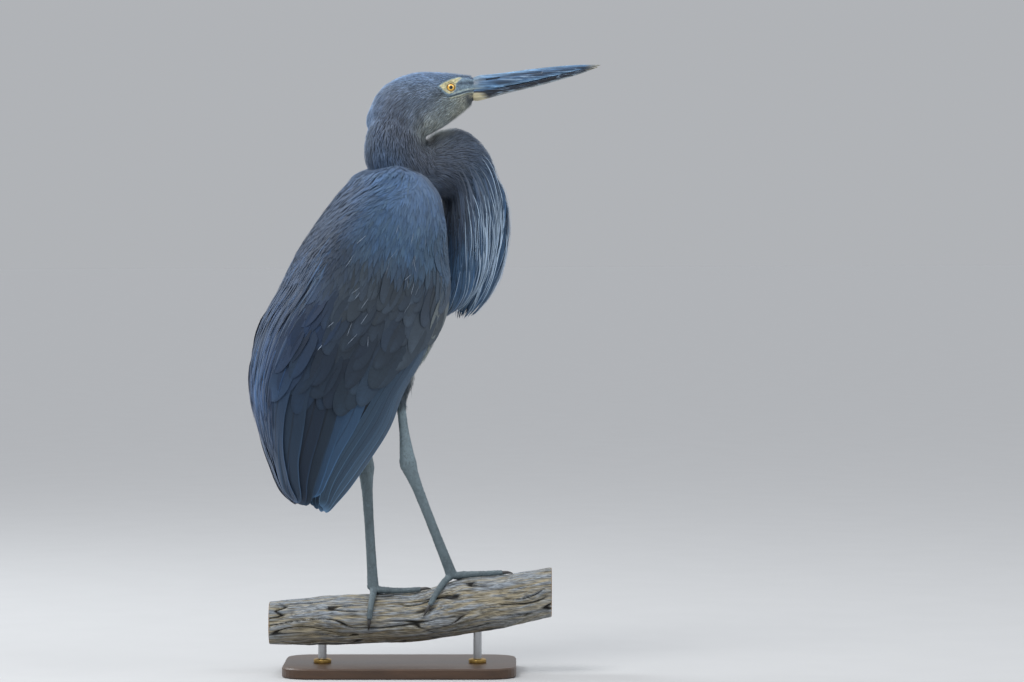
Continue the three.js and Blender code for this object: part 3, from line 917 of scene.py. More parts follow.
def comb(surface, roots, lie, lengths, stations, stray, chance):
    """Walks over a surface from each root. Returns the path and the way out along it."""
    spot, out = surface.settle(roots)
    turn = stray * chance.standard_normal(len(roots))
    path = [spot]
    outs = [out]
    pace = lengths / (stations - 1)
    for _ in range(stations - 1):
        way = flatten(lie(path[-1]), outs[-1])
        way = way * np.cos(turn)[:, None] + np.cross(outs[-1], way) * np.sin(turn)[:, None]
        ahead, out = surface.settle(path[-1] + way * pace[:, None])
        outs.append(0.5 * out + 0.5 * outs[-1])
        path.append(ahead)
    return np.stack(path, axis=1), np.stack(outs, axis=1)


def scatter(surface, chosen, count, gap, chance):
    """Random places over the chosen triangles, none closer to another than the gap."""
    a, b, c = (surface.points[surface.faces[chosen, k]] for k in range(3))
    area = np.linalg.norm(np.cross(b - a, c - a), axis=1)
    pick = chance.choice(len(area), count, p=area / area.sum())
    u, v = chance.random((2, count))
    folded = u + v > 1
    u = np.where(folded, 1 - u, u)
    v = np.where(folded, 1 - v, v)
    spots = a[pick] + (b - a)[pick] * u[:, None] + (c - a)[pick] * v[:, None]
    cell = np.floor(spots / gap).astype(int)
    taken = {}
    kept = []
    for index, key in enumerate(map(tuple, cell)):
        near = False
        for dx in (-1, 0, 1):
            for dy in (-1, 0, 1):
                for dz in (-1, 0, 1):
                    other = taken.get((key[0] + dx, key[1] + dy, key[2] + dz))
                    if other is not None and ((spots[index] - other) ** 2).sum() < gap * gap:
                        near = True
        if not near:
            taken[key] = spots[index]
            kept.append(index)
    return spots[kept]

# %% [markdown]
# ## Feather finishes
# A vane's colour comes with the mesh, as an attribute. The material adds what lies inside
# one vane: the shaft down its middle, the barbs that slant from the shaft to the edge, and
# the paler, worn fringe. The map named Vane gives the place on the vane: across it from 0 to
# 1, and along it from root to tip. A slight sheen on fixed sockets gives the powdery look.

# %% Feather materials
def feather_finish(name, barbs, barb_depth, shaft, fringe, root_shade, streak, middle=0.0):
    finish = Finish(
        name, Roughness=0.62, Specular_IOR_Level=0.32, Sheen_Weight=0.25,
        Sheen_Roughness=0.5, Sheen_Tint=(0.75, 0.84, 1.0, 1.0),
    )
    across, along = finish.along("Vane")
    tint = finish.attribute("tint")
    from_shaft = abs(across * 2 - 1)
    fringe_start = 0.8 if fringe > 1 else 0.66
    slant = along - from_shaft * 0.13
    rough = finish.grain(finish.join(slant * barbs, from_shaft * 1.5, along), 1.0, 2.0, 0.6)
    fine = finish.grain(finish.join(slant * barbs * 3.1, from_shaft * 2.5, 0.0), 1.0, 1.0)
    clump = (rough - 0.5) * streak + (fine - 0.5) * streak * 0.6
    edge = from_shaft.between(fringe_start, 0.97) * along.between(0.25, 0.8)
    tip = along.between(0.88, 1.0)
    strong = finish.number(tint["Alpha"])
    pale = edge.most(tip) * strong * fringe
    spine = (1 - from_shaft.between(0.03, 0.11)) * shaft * (1 - along.between(0.75, 1.0))
    shadow = (1 - along.between(0.0, 0.55)) * root_shade
    soft = (1 - from_shaft.between(0.1, 0.95)) * along.between(0.35, 0.75)
    soft = soft * (1 - along.between(0.8, 1.0) * 0.8) * strong * middle - middle * 0.2
    amount = 1 + clump + pale - shadow + spine + soft
    finish.wear(
        Base_Color=finish.shade(tint["Color"], amount),
        Roughness=0.58 + rough * 0.14,
        Normal=finish.bump(clump + spine * 0.4, barb_depth),
    )
    return finish


hair_finish = feather_finish("hair-like feathers", 9.0, 0.0002, 0.0, 0.4, 0.22, 0.3)
contour_finish = feather_finish("contour feathers", 34.0, 0.0004, -0.08, 0.1, 0.16, 0.34, 0.8)
blade_finish = feather_finish("flight feathers", 120.0, 0.0005, -0.35, 1.3, 0.12, 0.36)
plume_finish = feather_finish("silver plumes", 20.0, 0.0002, 0.10, 0.30, 0.35, 0.20)

# %% [markdown]
# ## Skin finish
# Under the coat the skin is the coat's colour, only darker, as it is in shadow. On the face
# it is bare: blue-grey before the eye, and pale yellow in a kite round the eye. These shapes
# are outlines seen from the side, and their colour fades over a millimetre.

# %% Skin colours
skin_surface = Surface(skin)
triangle_owner = np.array(flesh_nodes)[owners_at(skin_surface.centres)]
kite = np.array([
    (56.5, 832.5), (64, 838), (73, 841.5), (84, 845), (88, 844), (80, 836.5), (79, 828),
    (75.5, 823.5), (70, 821.5), (63.5, 825.5),
], float)
lore_tone = rgb(110, 132, 148)
kite_tone = rgb(196, 190, 150)
face_lines = (
    # a line seen from the side, its half width in mm, its strength and its colour
    (((76, 821.5), (88, 826), (100, 828.6), (126, 831)), 1.2, 0.8, (168, 182, 178)),
    (((84, 836), (94, 837), (132, 840)), 2.4, 0.75, (38, 54, 76)),
    (((84, 842), (98, 843), (126, 845)), 1.6, 0.4, (130, 156, 184)),
    (((88, 831), (100, 832), (126, 834)), 1.4, 0.45, (134, 158, 176)),
    (((72, 815), (86, 819), (104, 823.5)), 1.5, 0.7, (186, 186, 156)),
    (((101, 818), (114, 818)), 3.2, 0.6, (190, 184, 152)),
    (gape_line, 0.8, 0.85, (26, 32, 38)),
)
under_coat = 0.42
coarse_mottle, fine_mottle = 380, 900
mottle_share = 0.45
mottle_dim = 0.08


def mixed(colours, mask, colour):
    return colours * (1 - mask[:, None]) + colour * mask[:, None]


def write_tint(piece, colours, strength=1.0):
    """Gives a mesh its colours at its vertices. strength goes into the alpha."""
    alpha = np.broadcast_to(strength, len(colours))
    values = np.column_stack([colours, alpha]).astype(np.float32)
    piece.data.attributes.new("tint", "FLOAT_COLOR", "POINT")
    piece.data.attributes["tint"].data.foreach_set("color", values.ravel())


def with_face_lines(points, colours, chosen):
    for line, width, strength, colour in face_lines:
        mask = np.exp(-(side_distance(points, line) / width) ** 2) * chosen
        colours = mixed(colours, strength * mask, rgb(*colour))
    return colours


places = corners(skin)
colours = marked(places) * under_coat
ahead, aside, height = head_frame(places).T
on_face = (np.abs(aside) > 5 * mm) & (ahead > 50 * mm) & (height > face_low)
fade_rounds = 2
for outline, colour in ((bare_face, lore_tone), (kite, kite_tone)):
    mask = (inside(places, outline) & on_face).astype(float)
    if outline is bare_face:
        mask = np.maximum(mask, (ahead > horn_start) & (height > face_low))
    colours = mixed(colours, spread(skin.data, mask, fade_rounds), colour)
colours = with_face_lines(places, colours, on_face)
on_face = np.flatnonzero(on_face)
mottle = np.array([
    noise.noise(Vector(p) * coarse_mottle) + noise.noise(Vector(p) * fine_mottle)
    for p in places[on_face]
])
colours[on_face] *= 1 + mottle_share * np.clip(mottle, -1, 1)[:, None] - mottle_dim
write_tint(skin, colours)
skin_finish = Finish("bare and feathered skin", Roughness=0.55, Specular_IOR_Level=0.35)
pores = skin_finish.cells(skin_finish.place(), 1500)
creases = skin_finish.grain(skin_finish.place((1, 1, 2.2)), 420, 3)
skin_height = pores.between(0.0, 0.35) * 0.5 + creases
# Painted shade: the colour is darker where this height is low, in the creases and at the edges of the
# pore cells.
skin_finish.wear(
    Base_Color=skin_finish.shade(
        skin_finish.attribute("tint")["Color"], 0.78 + skin_height * 0.3
    ),
    Normal=skin_finish.bump(skin_height, 0.0003),
)
skin.data.materials.append(skin_finish.material)

# %% [markdown]
# ## Tufts of the head, neck and underside
# On the head and neck the feathers are so fine that they look like combed hair. Each is a
# narrow pointed vane a few millimetres long. Roots are scattered over the skin with an even
# gap, each tuft walks along the lie, and it rises from the skin to the coat's full depth, so
# that its tip lies over the roots of the next.

# %% Grow a field of tufts
tuft_arch = 0.35
tuft_point = 1.6


def grow(coat, chosen, count, gap, lie, length, width, chance, *, depth, lift, spread,
         stations, stray, light=1.0, edge=0.5):
    """Adds tufts rooted on the chosen triangles. length and width, in mm, may be functions
    of the roots. depth is how far the tips stand off the skin, and lift how much more."""
    roots = scatter(skin_surface, chosen, count, gap * mm, chance)
    lengths = length(roots) if callable(length) else np.full(len(roots), float(length))
    widths = width(roots) if callable(width) else np.full(len(roots), float(width))
    lengths = lengths * (1 + 0.15 * chance.standard_normal(len(roots))).clip(0.6, 1.4)
    path, out = comb(skin_surface, roots, lie, lengths * mm, stations, stray, chance)
    share = np.linspace(0, 1, stations)
    depths = depth * (1 + 0.12 * chance.standard_normal(len(roots)))
    height = depths[:, None] * (1 - (1 - share) ** 1.7) - 0.3 * (1 - share)
    height = height + lift * share ** 2
    path = path + out * height[:, :, None] * mm
    profile = (share + 0.25).clip(0, 0.7) / 0.7 * (1 - share ** tuft_point)
    half = 0.5 * widths[:, None] * profile * mm
    tint = tinted(roots, chance, spread, light, edge)
    roll = 0.12 * chance.standard_normal(len(roots))
    coat.add(path, out, half, tuft_arch, tint, 3, roll)


def on_nodes(*names):
    """Which skin triangles belong to nodes whose name holds one of these words."""
    return np.array([any(name in owner for name in names) for owner in triangle_owner])


centres = skin_surface.centres
side_x = centres[:, 0] / mm
side_z = centres[:, 2] / mm
head_x, head_y, _ = head_frame(centres).T / mm
head_lie = lie_from((
    (104, 848, -1, 0.10), (85, 846, -1, 0.05), (60, 852, -1, 0.02), (20, 849, -1, -0.22),
    (-20, 830, -0.75, -0.66), (-42, 790, -0.2, -1), (-30, 808, -0.5, -0.85),
    (60, 822, -1, -0.25), (40, 805, -0.85, -0.5), (10, 812, -0.8, -0.6),
    (104, 812, -1, -0.35), (80, 800, -0.85, -0.5), (55, 785, -0.6, -0.8),
    (10, 780, -0.35, -0.95), (-45, 750, 0.0, -1), (0, 750, -0.08, -1), (30, 760, -0.2, -1),
    (-40, 715, 0.2, -1), (-5, 715, 0.25, -1), (25, 725, 0.5, -0.9),
), 24, turned=True)


def head_length(roots):
    x, _, z = head_frame(roots).T / mm
    from_bill = np.hypot(x - 106, z - 832)
    return np.interp(from_bill, [0, 14, 60, 130, 170], [2.6, 3.6, 7.0, 11.5, 15.0])


def head_width(roots):
    return np.interp(head_length(roots), [2.6, 7, 15], [0.55, 0.85, 1.25])


chance = np.random.default_rng(11)
eye_place = (72, 830)
eye_clear = 9.5
tufts_end = 103
off_face = ~(inside(centres, bare_face) & (np.abs(head_y) > 6))
off_face &= np.hypot(head_x - eye_place[0], side_z - eye_place[1]) > eye_clear
off_face &= head_x < tufts_end
head_coat = Coat("coat_head")
grow(
    head_coat, on_nodes("head") & off_face, 60000, 1.25, head_lie, head_length,
    head_width, chance, depth=1.6, lift=0.2, spread=0.24, stations=5, stray=0.12, edge=0.9,
)
head_piece = head_coat.build(hair_finish, ground)
nape_coat = Coat("coat_nape")
grow(
    nape_coat, on_nodes("neck_upper"), 40000, 1.9, head_lie, head_length, head_width,
    chance, depth=2.8, lift=0.6, spread=0.2, stations=6, stray=0.16, edge=0.9,
)
nape_piece = nape_coat.build(hair_finish, ground)

# %% [markdown]
# The neck folds in an S. Its feathers follow it from the head: down behind, forward through
# the bend, over the hump, and down the breast. The fine brown-grey ones of the hump are short
# and lie close, and those of the breast are longer and looser.

# %% Neck, breast, belly and thighs
neck_lie = lie_from((
    (40, 730, 1, 0.0), (60, 700, 1, -0.45), (80, 760, 1, 0.35), (105, 770, 1, -0.1),
    (130, 750, 0.75, -0.7), (90, 725, 0.9, -0.25), (115, 710, 0.6, -0.8),
    (148, 700, 0.35, -1), (85, 680, 0.7, -0.7), (158, 650, 0.0, -1), (110, 650, 0.15, -1),
    (75, 640, 0.05, -1), (150, 590, -0.2, -1), (90, 590, -0.12, -1), (60, 590, -0.1, -1),
    (118, 540, -0.45, -1), (60, 530, -0.3, -1), (92, 505, -0.5, -1),
), 26)
body_lie = lie_from((
    (60, 560, -0.25, -1), (40, 480, -0.5, -1), (0, 430, -0.75, -0.7), (-60, 380, -0.9, -0.5),
    (-130, 345, -1, -0.35), (-30, 440, -0.1, -1), (-35, 380, 0.1, -1), (-20, 480, -0.2, -1),
    (-150, 600, -0.5, -1), (-200, 480, -0.15, -1), (-60, 690, -0.9, -0.6), (0, 715, -1, -0.1),
    (20, 640, -0.3, -1),
), 50)


def neck_length(roots):
    z = roots[:, 2] / mm
    return np.interp(z, [500, 600, 690, 740, 775], [20, 18, 13, 10, 8])


chance = np.random.default_rng(12)
neck_coat = Coat("coat_neck")
grow(
    neck_coat, on_nodes("neck_middle") & (side_z > 660), 60000, 1.55, neck_lie, neck_length,
    lambda roots: neck_length(roots) * 0.105, chance, depth=3.0, lift=0.4, spread=0.11,
    stations=6, stray=0.10,
)
neck_piece = neck_coat.build(hair_finish, ground)

breast_coat = Coat("coat_breast")
grow(
    breast_coat, on_nodes("neck_middle", "neck_lower") & (side_z <= 664), 40000, 2.3,
    neck_lie, neck_length, lambda roots: neck_length(roots) * 0.11, chance, depth=3.8,
    lift=1.0, spread=0.14, stations=6, stray=0.16,
)
grow(
    breast_coat, on_nodes("trunk") & (side_z < 560) & (side_x > -120), 30000, 3.4, body_lie,
    26, 3.0, chance, depth=5.0, lift=1.0, spread=0.14, stations=7, stray=0.15,
)
grow(
    breast_coat, on_nodes("trunk") & (side_z >= 560) & (side_x > -20), 9000, 5.0, body_lie,
    24, 4.5, chance, depth=4.0, lift=0.6, spread=0.12, stations=6, stray=0.12, light=0.8,
)
breast_piece = breast_coat.build(hair_finish, ground)

thigh_coat = Coat("coat_thighs")
thigh_lie = lie_from(((-30, 480, -0.1, -1), (-35, 380, 0.0, -1), (-40, 330, 0.05, -1)), 50)
grow(
    thigh_coat, on_nodes("thigh"), 30000, 2.0, thigh_lie, 17, 1.9, chance, depth=2.4,
    lift=0.6, spread=0.12, stations=6, stray=0.14,
)
thigh_piece = thigh_coat.build(hair_finish, ground)

# %% [markdown]
# ## Round the body
# Wing and back feathers stand in ordered rows, so they need a place by row and not a random
# one. The body's outer shape is a stack of rounded rings, the same as in the CAD model: each
# has a height, its rearmost and foremost point and its half width, in mm. A place on it is a
# height and an angle, from 0 at the middle of the back to 180 at the breast.

# %% The body's outer shape
body_rings = np.array([
    (721, -28, -8, 34), (713, -48, 13, 52), (690, -73, 40, 69), (646, -110, 57, 80),
    (600, -143, 60, 86), (550, -170, 66, 90), (500, -199, 54, 90), (450, -215, 33, 86),
    (400, -219, 3, 78), (350, -209, -16, 66), (300, -194, -49, 50), (256, -174, -81, 30),
    (232, -149, -103, 14), (214, -132, -118, 4),
], float)[::-1]
ring_power = 3
wing_edges = np.array([
    # height, then the angles of the rear edge and the front edge
    (700, 50, 136), (640, 46, 137), (560, 43, 137), (487, 39, 135), (416, 32, 133),
    (388, 25, 132), (355, 15, 130), (325, 8, 129), (290, 6, 128), (256, 6, 125), (232, 6, 122),
], float)[::-1]


def through(table, column, at):
    """A smooth curve through one column of a table, read at heights."""
    x = table[:, 0]
    y = table[:, column]
    slope = np.gradient(y, x)
    k = np.clip(np.searchsorted(x, at) - 1, 0, len(x) - 2)
    step = x[k + 1] - x[k]
    t = np.clip((at - x[k]) / step, -0.2, 1.2)
    return (
        (2 * t ** 3 - 3 * t ** 2 + 1) * y[k] + (t ** 3 - 2 * t ** 2 + t) * step * slope[k]
        + (3 * t ** 2 - 2 * t ** 3) * y[k + 1] + (t ** 3 - t ** 2) * step * slope[k + 1]
    )


def ring_place(height, angle, side):
    """The point of the body's outer shape, in metres. side is 1 on the left, -1 right."""
    rear, fore, half = (through(body_rings, column, height) for column in (1, 2, 3))
    ahead = -np.cos(np.radians(angle))
    aside = np.sin(np.radians(angle))
    full = (np.abs(ahead) ** ring_power + np.abs(aside) ** ring_power) ** (-1 / ring_power)
    x = (rear + fore) / 2 + ahead * full * (fore - rear) / 2
    return np.stack([x, side * aside * full * np.maximum(half, 1.5), height], axis=-1) * mm


def ring_out(height, angle, side):
    """The way out of the body there, from its slope up and round."""
    up = ring_place(height + 3, angle, side) - ring_place(height - 3, angle, side)
    low = np.maximum(angle - 2, -178)
    round_ = ring_place(height, low + 4, side) - ring_place(height, low, side)
    out = np.cross(up, round_) * side
    return out / (np.linalg.norm(out, axis=-1, keepdims=True) + 1e-12)


def wing_angle(height, share):
    """The angle at a share of the wing's width, from its rear edge to its front edge."""
    rear = np.interp(height, wing_edges[:, 0], wing_edges[:, 1])
    front = np.interp(height, wing_edges[:, 0], wing_edges[:, 2])
    return rear + (front - rear) * share


def lay(coat, heights, angles, side, half, inset, arch, tint, across, roll=None):
    """Adds vanes whose stations are given round the body, each set in from the outer
    shape by a depth in mm."""
    path = ring_place(heights, angles, side)
    out = ring_out(heights, angles, side)
    path = path - out * inset[:, :, None] * mm
    coat.add(path, out, half * mm, arch, tint, across, roll)


arc_heights = np.arange(721.0, 212.0, -2.0)
arc_step = 5
arc_tables = []
for degrees in range(0, 181, arc_step):
    meridian = ring_place(arc_heights, np.full(len(arc_heights), float(degrees)), 1)
    steps = np.linalg.norm(np.diff(meridian, axis=0), axis=1) / mm
    arc_tables.append(np.concatenate([[0], np.cumsum(steps)]))


def down_from(start, distance, angle):
    """The heights reached by going down the body from a height by distances, in mm."""
    table = arc_tables[int(round(min(abs(angle), 180) / arc_step))]
    begin = np.interp(-start, -arc_heights, table)
    return np.interp(begin + distance, table, arc_heights)


print("from the shoulder to the wing tip:", round(arc_tables[9][-1]), "mm over the surface")

# %% [markdown]
# ## Wing coverts
# A folded wing is covered like a roof. Small soft feathers lie over the shoulder, larger ones
# below them, and the greater coverts reach over the roots of the flight feathers. The tips of
# each row make an arc across the wing, and each row starts under the row above, half a
# feather to one side. The small feathers are narrow and pointed, and their rings have three
# corners across. The larger ones are broad and blunt, and theirs have five.

# %% Rows of coverts
fine_limit = 12
ruffle = 0.25


def blunt(share, full=0.35, tip=0.55):
    """Half width along a rounded feather, as a share of its widest."""
    widen = np.sin(np.clip(share / full, 0, 1) * math.pi / 2) ** 0.8
    close = np.sqrt(np.clip(1 - ((share - tip).clip(0) / (1 - tip)) ** 2, 0, 1))
    return (0.25 + 0.75 * widen) * close


def pointed(share):
    """Half width along a narrow feather that ends in a point."""
    return np.minimum(1, 0.35 + share * 2.2) * (1 - share ** 2.2)


def rows(coat, side, chance, exposures, arcs, angle_of, shares=(0, 1), *, hidden, depth,
         lift, wander=0.12, arch=0.13, spread=0.04):
    """Rows of feathers whose tips lie on arcs. exposures is how much of each row shows, in
    mm, and arcs gives the tips' heights across the wing, for the first and the last row.
    hidden is how much more of a feather lies under the row above, in mm."""
    stations = 10
    share = 1 - (1 - np.linspace(0, 1, stations)) ** 1.7
    place_column, first, last = np.array(arcs, float).T
    down = np.cumsum(exposures) / np.sum(exposures)
    for row, (shown, part) in enumerate(zip(exposures, down)):
        fine = shown < fine_limit
        wide = shown * 0.85 if fine else shown + 4
        long = shown * 1.6 + hidden
        ends = np.linspace(*shares, 9)
        level = np.interp(ends, place_column, first + (last - first) * part)
        steps = np.diff(ring_place(level, angle_of(level, ends), side), axis=0)
        reach = np.linalg.norm(steps, axis=1).sum() / mm
        count = max(2, int(reach / (wide * 0.6)))
        place = (np.arange(count) + 0.5 * (row % 2) + 0.25) / count
        place = place + wander * chance.standard_normal(count) / count
        place = shares[0] + (shares[1] - shares[0]) * place.clip(-0.01, 1.01)
        tips = np.interp(place, place_column, first + (last - first) * part)
        tips = tips + wander * shown * chance.standard_normal(count)
        longs = long * (1 + 0.08 * chance.standard_normal(count))
        near = angle_of(tips, place)
        heights = np.stack([
            down_from(tips[k], -longs[k] * (1 - share), near[k]) for k in range(count)
        ])
        drift = 0.02 * chance.standard_normal((count, 1))
        angles = angle_of(heights, place[:, None] + drift * share)
        inset = depth * (1 - share) ** 1.2 - lift * share ** 2
        inset = inset + ruffle * chance.standard_normal((count, 1))
        half = 0.5 * wide * (1.25 * pointed(share) if fine else blunt(share))[None]
        half = half * (1 + 0.06 * chance.standard_normal((count, 1)))
        tint = tinted(ring_place(tips, near, side), chance, spread + shown * 0.001, 1.0, 0.2)
        tint[:, 3] *= chance.uniform(0.4, 1.4, count) * np.interp(shown, [10, 24], [0.5, 1.9])
        roll = 0.06 * chance.standard_normal(count)
        across = 3 if fine else 5
        lay(coat, heights, angles, side, half, inset, arch, tint, across, roll)


def filaments(coat, side, chance, count, heights, shares, lengths):
    """Loose silver barbs that lie on the coat."""
    share = np.linspace(0, 1, 6)
    start = chance.uniform(*heights, count)
    place = chance.uniform(*shares, count)
    long = chance.uniform(*lengths, count)
    tops = np.stack([start[k] - long[k] * share for k in range(count)])
    lean = chance.normal(-0.02, 0.03, (count, 1)) * share
    angles = wing_angle(tops, place[:, None] + lean)
    inset = np.tile(0.6 - 2.4 * share ** 0.5, (count, 1))
    half = 0.5 * chance.uniform(0.5, 1.0, (count, 1)) * (1 - share ** 2) * (0.4 + share)
    tint = np.array(tone(150, 164, 182)) * chance.uniform(0.5, 1.1, (count, 1))
    lay(coat, tops, angles, side, half, inset, 0.4, tint, 3)


side_sign = {"left": 1, "right": -1}
covert_arcs = (
    # place across the wing, height of the tips in the first row, and in the last row
    (0.0, 640, 405), (0.1, 652, 400), (0.25, 668, 388), (0.4, 678, 379), (0.52, 684, 374),
    (0.65, 688, 377), (0.73, 690, 388), (0.8, 691, 407), (0.88, 692, 448), (1.0, 692, 480),
)
covert_exposures = [6] * 17 + [10] * 5 + [16] * 3 + [24] * 3 + [30] * 2
edge_arcs = ((0.88, 660, 510), (1.0, 640, 478))
covert_pieces = {}
for side in sides:
    chance = np.random.default_rng(20 if side == "left" else 21)
    coat = Coat(f"coat_wing_{side}")
    rows(coat, side_sign[side], chance, covert_exposures, covert_arcs, wing_angle, hidden=26,
         depth=1.3, lift=0.1, arch=0.05, wander=0.25)
    rows(coat, side_sign[side], chance, [8] * 20, edge_arcs, wing_angle, (0.88, 1.0),
         hidden=18, depth=2.0, lift=0.6)
    filaments(coat, side_sign[side], chance, 24, (470, 650), (0.12, 0.8), (10, 22))
    covert_pieces[side] = coat.build(contour_finish, ground)

# %% [markdown]
# ## Mantle
# The back between the wings is the mantle, smooth and very blue. Its lower edge lies over the
# wings like a shawl.

# %% Mantle
mantle_edge = np.array([
    # height, angle of the shawl's edge
    (721, 130), (706, 119), (690, 105), (671, 78), (640, 56), (600, 47), (560, 43),
    (500, 40), (450, 36), (400, 31), (340, 22),
], float)[::-1]


def mantle_angle(height, share):
    return np.interp(height, mantle_edge[:, 0], mantle_edge[:, 1]) * (2 * share - 1)


chance = np.random.default_rng(30)
mantle_coat = Coat("coat_mantle")
rows(
    mantle_coat, 1, chance, [6] * 27, ((0, 716, 560), (0.5, 716, 545), (1, 716, 560)),
    mantle_angle, hidden=18, depth=2.0, lift=0.7, wander=0.4, arch=0.2, spread=0.03,
)

# %% [markdown]
# From under the mantle hang the scapular plumes, long narrow feathers that cover the gap
# between the wings and end in points. A few very thin pale ones lie over the others.

# %% Scapular plumes
def plumes_down(coat, side, chance, count, heights, angles, lengths, wide, *, lift,
                depth=3.5, light=1.0, spread=0.12):
    """Long narrow feathers down the back. heights, angles and lengths are ranges."""
    stations = 12
    share = np.linspace(0, 1, stations)
    place = (np.arange(count) + chance.random(count)) / count
    angle = angles[0] + (angles[1] - angles[0]) * place
    start = chance.uniform(*heights, count)
    long = chance.uniform(*lengths, count)
    tops = np.stack([down_from(start[k], long[k] * share, angle[k]) for k in range(count)])
    narrowing = np.interp(tops, mantle_edge[:, 0], mantle_edge[:, 1])
    root_edge = np.interp(start, mantle_edge[:, 0], mantle_edge[:, 1])
    along = angle[:, None] * narrowing / root_edge[:, None]
    along = along + chance.normal(0, 2.0, (count, 1)) * share
    inset = depth * (1 - share) ** 1.5 - lift * share
    inset = inset + 0.4 * chance.standard_normal((count, 1))
    width = wide * (1 + 0.15 * chance.standard_normal((count, 1)))
    tint = tinted(ring_place(start, angle, side), chance, spread, light, 0.5)
    lay(coat, tops, along, side, 0.5 * width * pointed(share)[None], inset, 0.3, tint, 5)


for side in sides:
    sign = side_sign[side]
    plumes_down(mantle_coat, sign, chance, 66, (560, 640), (2, 46), (70, 110), 9, lift=0.7)
    plumes_down(mantle_coat, sign, chance, 50, (470, 560), (0, 39), (90, 140), 13, lift=0.4)
    plumes_down(mantle_coat, sign, chance, 36, (400, 470), (0, 34), (70, 120), 13, lift=0.2)
    plumes_down(
        mantle_coat, sign, chance, 34, (440, 640), (4, 44), (40, 90), 1.1,
        depth=2.0, lift=1.6, light=2.6, spread=0.4,
    )
mantle_piece = mantle_coat.build(contour_finish, ground)

# %% [markdown]
# ## Flight feathers
# Below the coverts hang the longest feathers of the folded wing. The secondaries are broad
# and lie like shingles, the rearmost on top. The primaries are narrower, stick out under
# their front edge, and slant back along the wing to its tip. Each is set by the line of its
# shaft over the body, lies a little deeper than the one behind it, and has nine corners
# across, so that it can arch.

# %% Blades of the wings
blade_stations = 32
shaft_lines = (
    # half width in mm, inset in mm, lightness, then height and angle along the shaft
    (15, 0.4, 1.25, (520, 44), (468, 43), (435, 41), (399, 37), (363, 30), (327, 24), (291, 21),
     (262, 22), (247, 24)),
    (17, 0.8, 0.95, (510, 54), (451, 53), (415, 52), (376, 49), (337, 44), (301, 38),
     (272, 36), (245, 33)),
    (17, 1.2, 0.85, (490, 68), (419, 66), (386, 64), (353, 60), (321, 55), (288, 49),
     (262, 44), (242, 38)),
    (16, 1.6, 1.3, (480, 78), (415, 76), (383, 74), (350, 70), (318, 66), (285, 61),
     (262, 55), (243, 48)),
    (16, 2.0, 2.8, (470, 84), (409, 83), (380, 81), (347, 77), (314, 73), (282, 69), (262, 65),
     (249, 61)),
    (14, 2.4, 2.6, (480, 99), (415, 98), (386, 97), (353, 92), (321, 85), (288, 79), (268, 75),
     (250, 72)),
    # painted shade: this narrow blade lies deepest, in the gap between the secondaries and the
    # primaries, and its lightness of 0.3 stands for the shade in that gap
    (10, 3.6, 0.3, (450, 115), (400, 110), (370, 106), (340, 101), (310, 94), (280, 83)),
    (8.5, 2.6, 1.2, (520, 124), (487, 122), (441, 118), (389, 113), (350, 105), (308, 97),
     (272, 91), (237, 90)),
    (8.5, 2.9, 1.05, (515, 128), (481, 127), (432, 124), (380, 120), (339, 114), (298, 107),
     (265, 101), (234, 98)),
    (8.5, 3.2, 1.2, (505, 132), (471, 131), (425, 129), (373, 126), (331, 122), (290, 117),
     (259, 111), (231, 105)),
    (8.0, 3.5, 1.3, (490, 135), (458, 135), (419, 134), (370, 132), (326, 130), (283, 127),
     (252, 122), (229, 112)),
)


def blade_outline(share, tip_start):
    widen = 0.6 + 0.4 * np.sin(np.clip(share / 0.35, 0, 1) * math.pi / 2)
    close = np.sqrt(np.clip(1 - ((share - tip_start).clip(0) / (1 - tip_start)) ** 2, 0, 1))
    return widen * close


flight_pieces = {}
for side in sides:
    chance = np.random.default_rng(40 if side == "left" else 41)
    coat = Coat(f"feathers_flight_{side}")
    share = 1 - (1 - np.linspace(0, 1, blade_stations)) ** 1.5
    for half_width, depth, light, *line in shaft_lines:
        line = np.array(line, float)
        steps = np.hypot(np.diff(line[:, 0]), np.diff(line[:, 1]) * 0.8)
        run = np.concatenate([[0], np.cumsum(steps)])
        long = run[-1]
        at = np.stack([run, *line.T], axis=1)
        heights = through(at, 1, share * long)[None] + chance.normal(0, 1.5)
        angles = through(at, 2, share * long)[None]
        half = half_width * blade_outline(share, 1 - 1.3 * half_width / long)[None]
        slim = np.interp(heights, [232, 262, 330], [0.72, 0.85, 1])
        half = half * slim
        inset = depth + 0.4 + 0.8 * (1 - share)[None] - 0.6 * share[None]
        tint = tinted(ring_place(heights[:, 16], angles[:, 16], side_sign[side]), chance, 0.04,
                      light, 1.6 if half_width < 10 else 1.0)
        roll = np.array([-0.05 * side_sign[side]])
        lay(coat, heights, angles, side_sign[side], half, inset, 0.06, tint, 9, roll)
    flight_pieces[side] = coat.build(blade_finish, ground, 40)

# %% [markdown]
# ## Tail
# The short tail hangs between the wing tips, almost hidden. Its feathers are stacked like a
# closed fan, the middle one rearmost.

# %% Tail feathers
tail_line = np.array([
    # height, distance ahead, half spread in mm
    (400, -142, 26), (350, -156, 28), (300, -160, 26), (262, -157, 20), (243, -151, 14),
], float)[::-1]
chance = np.random.default_rng(50)
tail_coat = Coat("feathers_tail")
tail_count = 10
share = np.linspace(0, 1, blade_stations)
fan = np.linspace(-1, 1, tail_count)
heights = 398 + (244 + 10 * np.abs(fan)[:, None] - 398) * share
ahead = np.interp(heights, tail_line[:, 0], tail_line[:, 1]) + 5 * np.abs(fan)[:, None]
aside = np.interp(heights, tail_line[:, 0], tail_line[:, 2]) * fan[:, None]
path = np.stack([ahead, aside, heights], axis=-1) * mm
out = np.broadcast_to(np.array([-1.0, 0.0, 0.08]), path.shape).copy()
out[:, :, 1] += 0.35 * fan[:, None]
half = np.broadcast_to(10 * blade_outline(share, 0.9), heights.shape) * mm
tail_coat.add(path, out, half, 0.16, tinted(path[:, 15], chance, 0.06, 0.9), 9)
tail_piece = tail_coat.build(blade_finish, ground, 40)

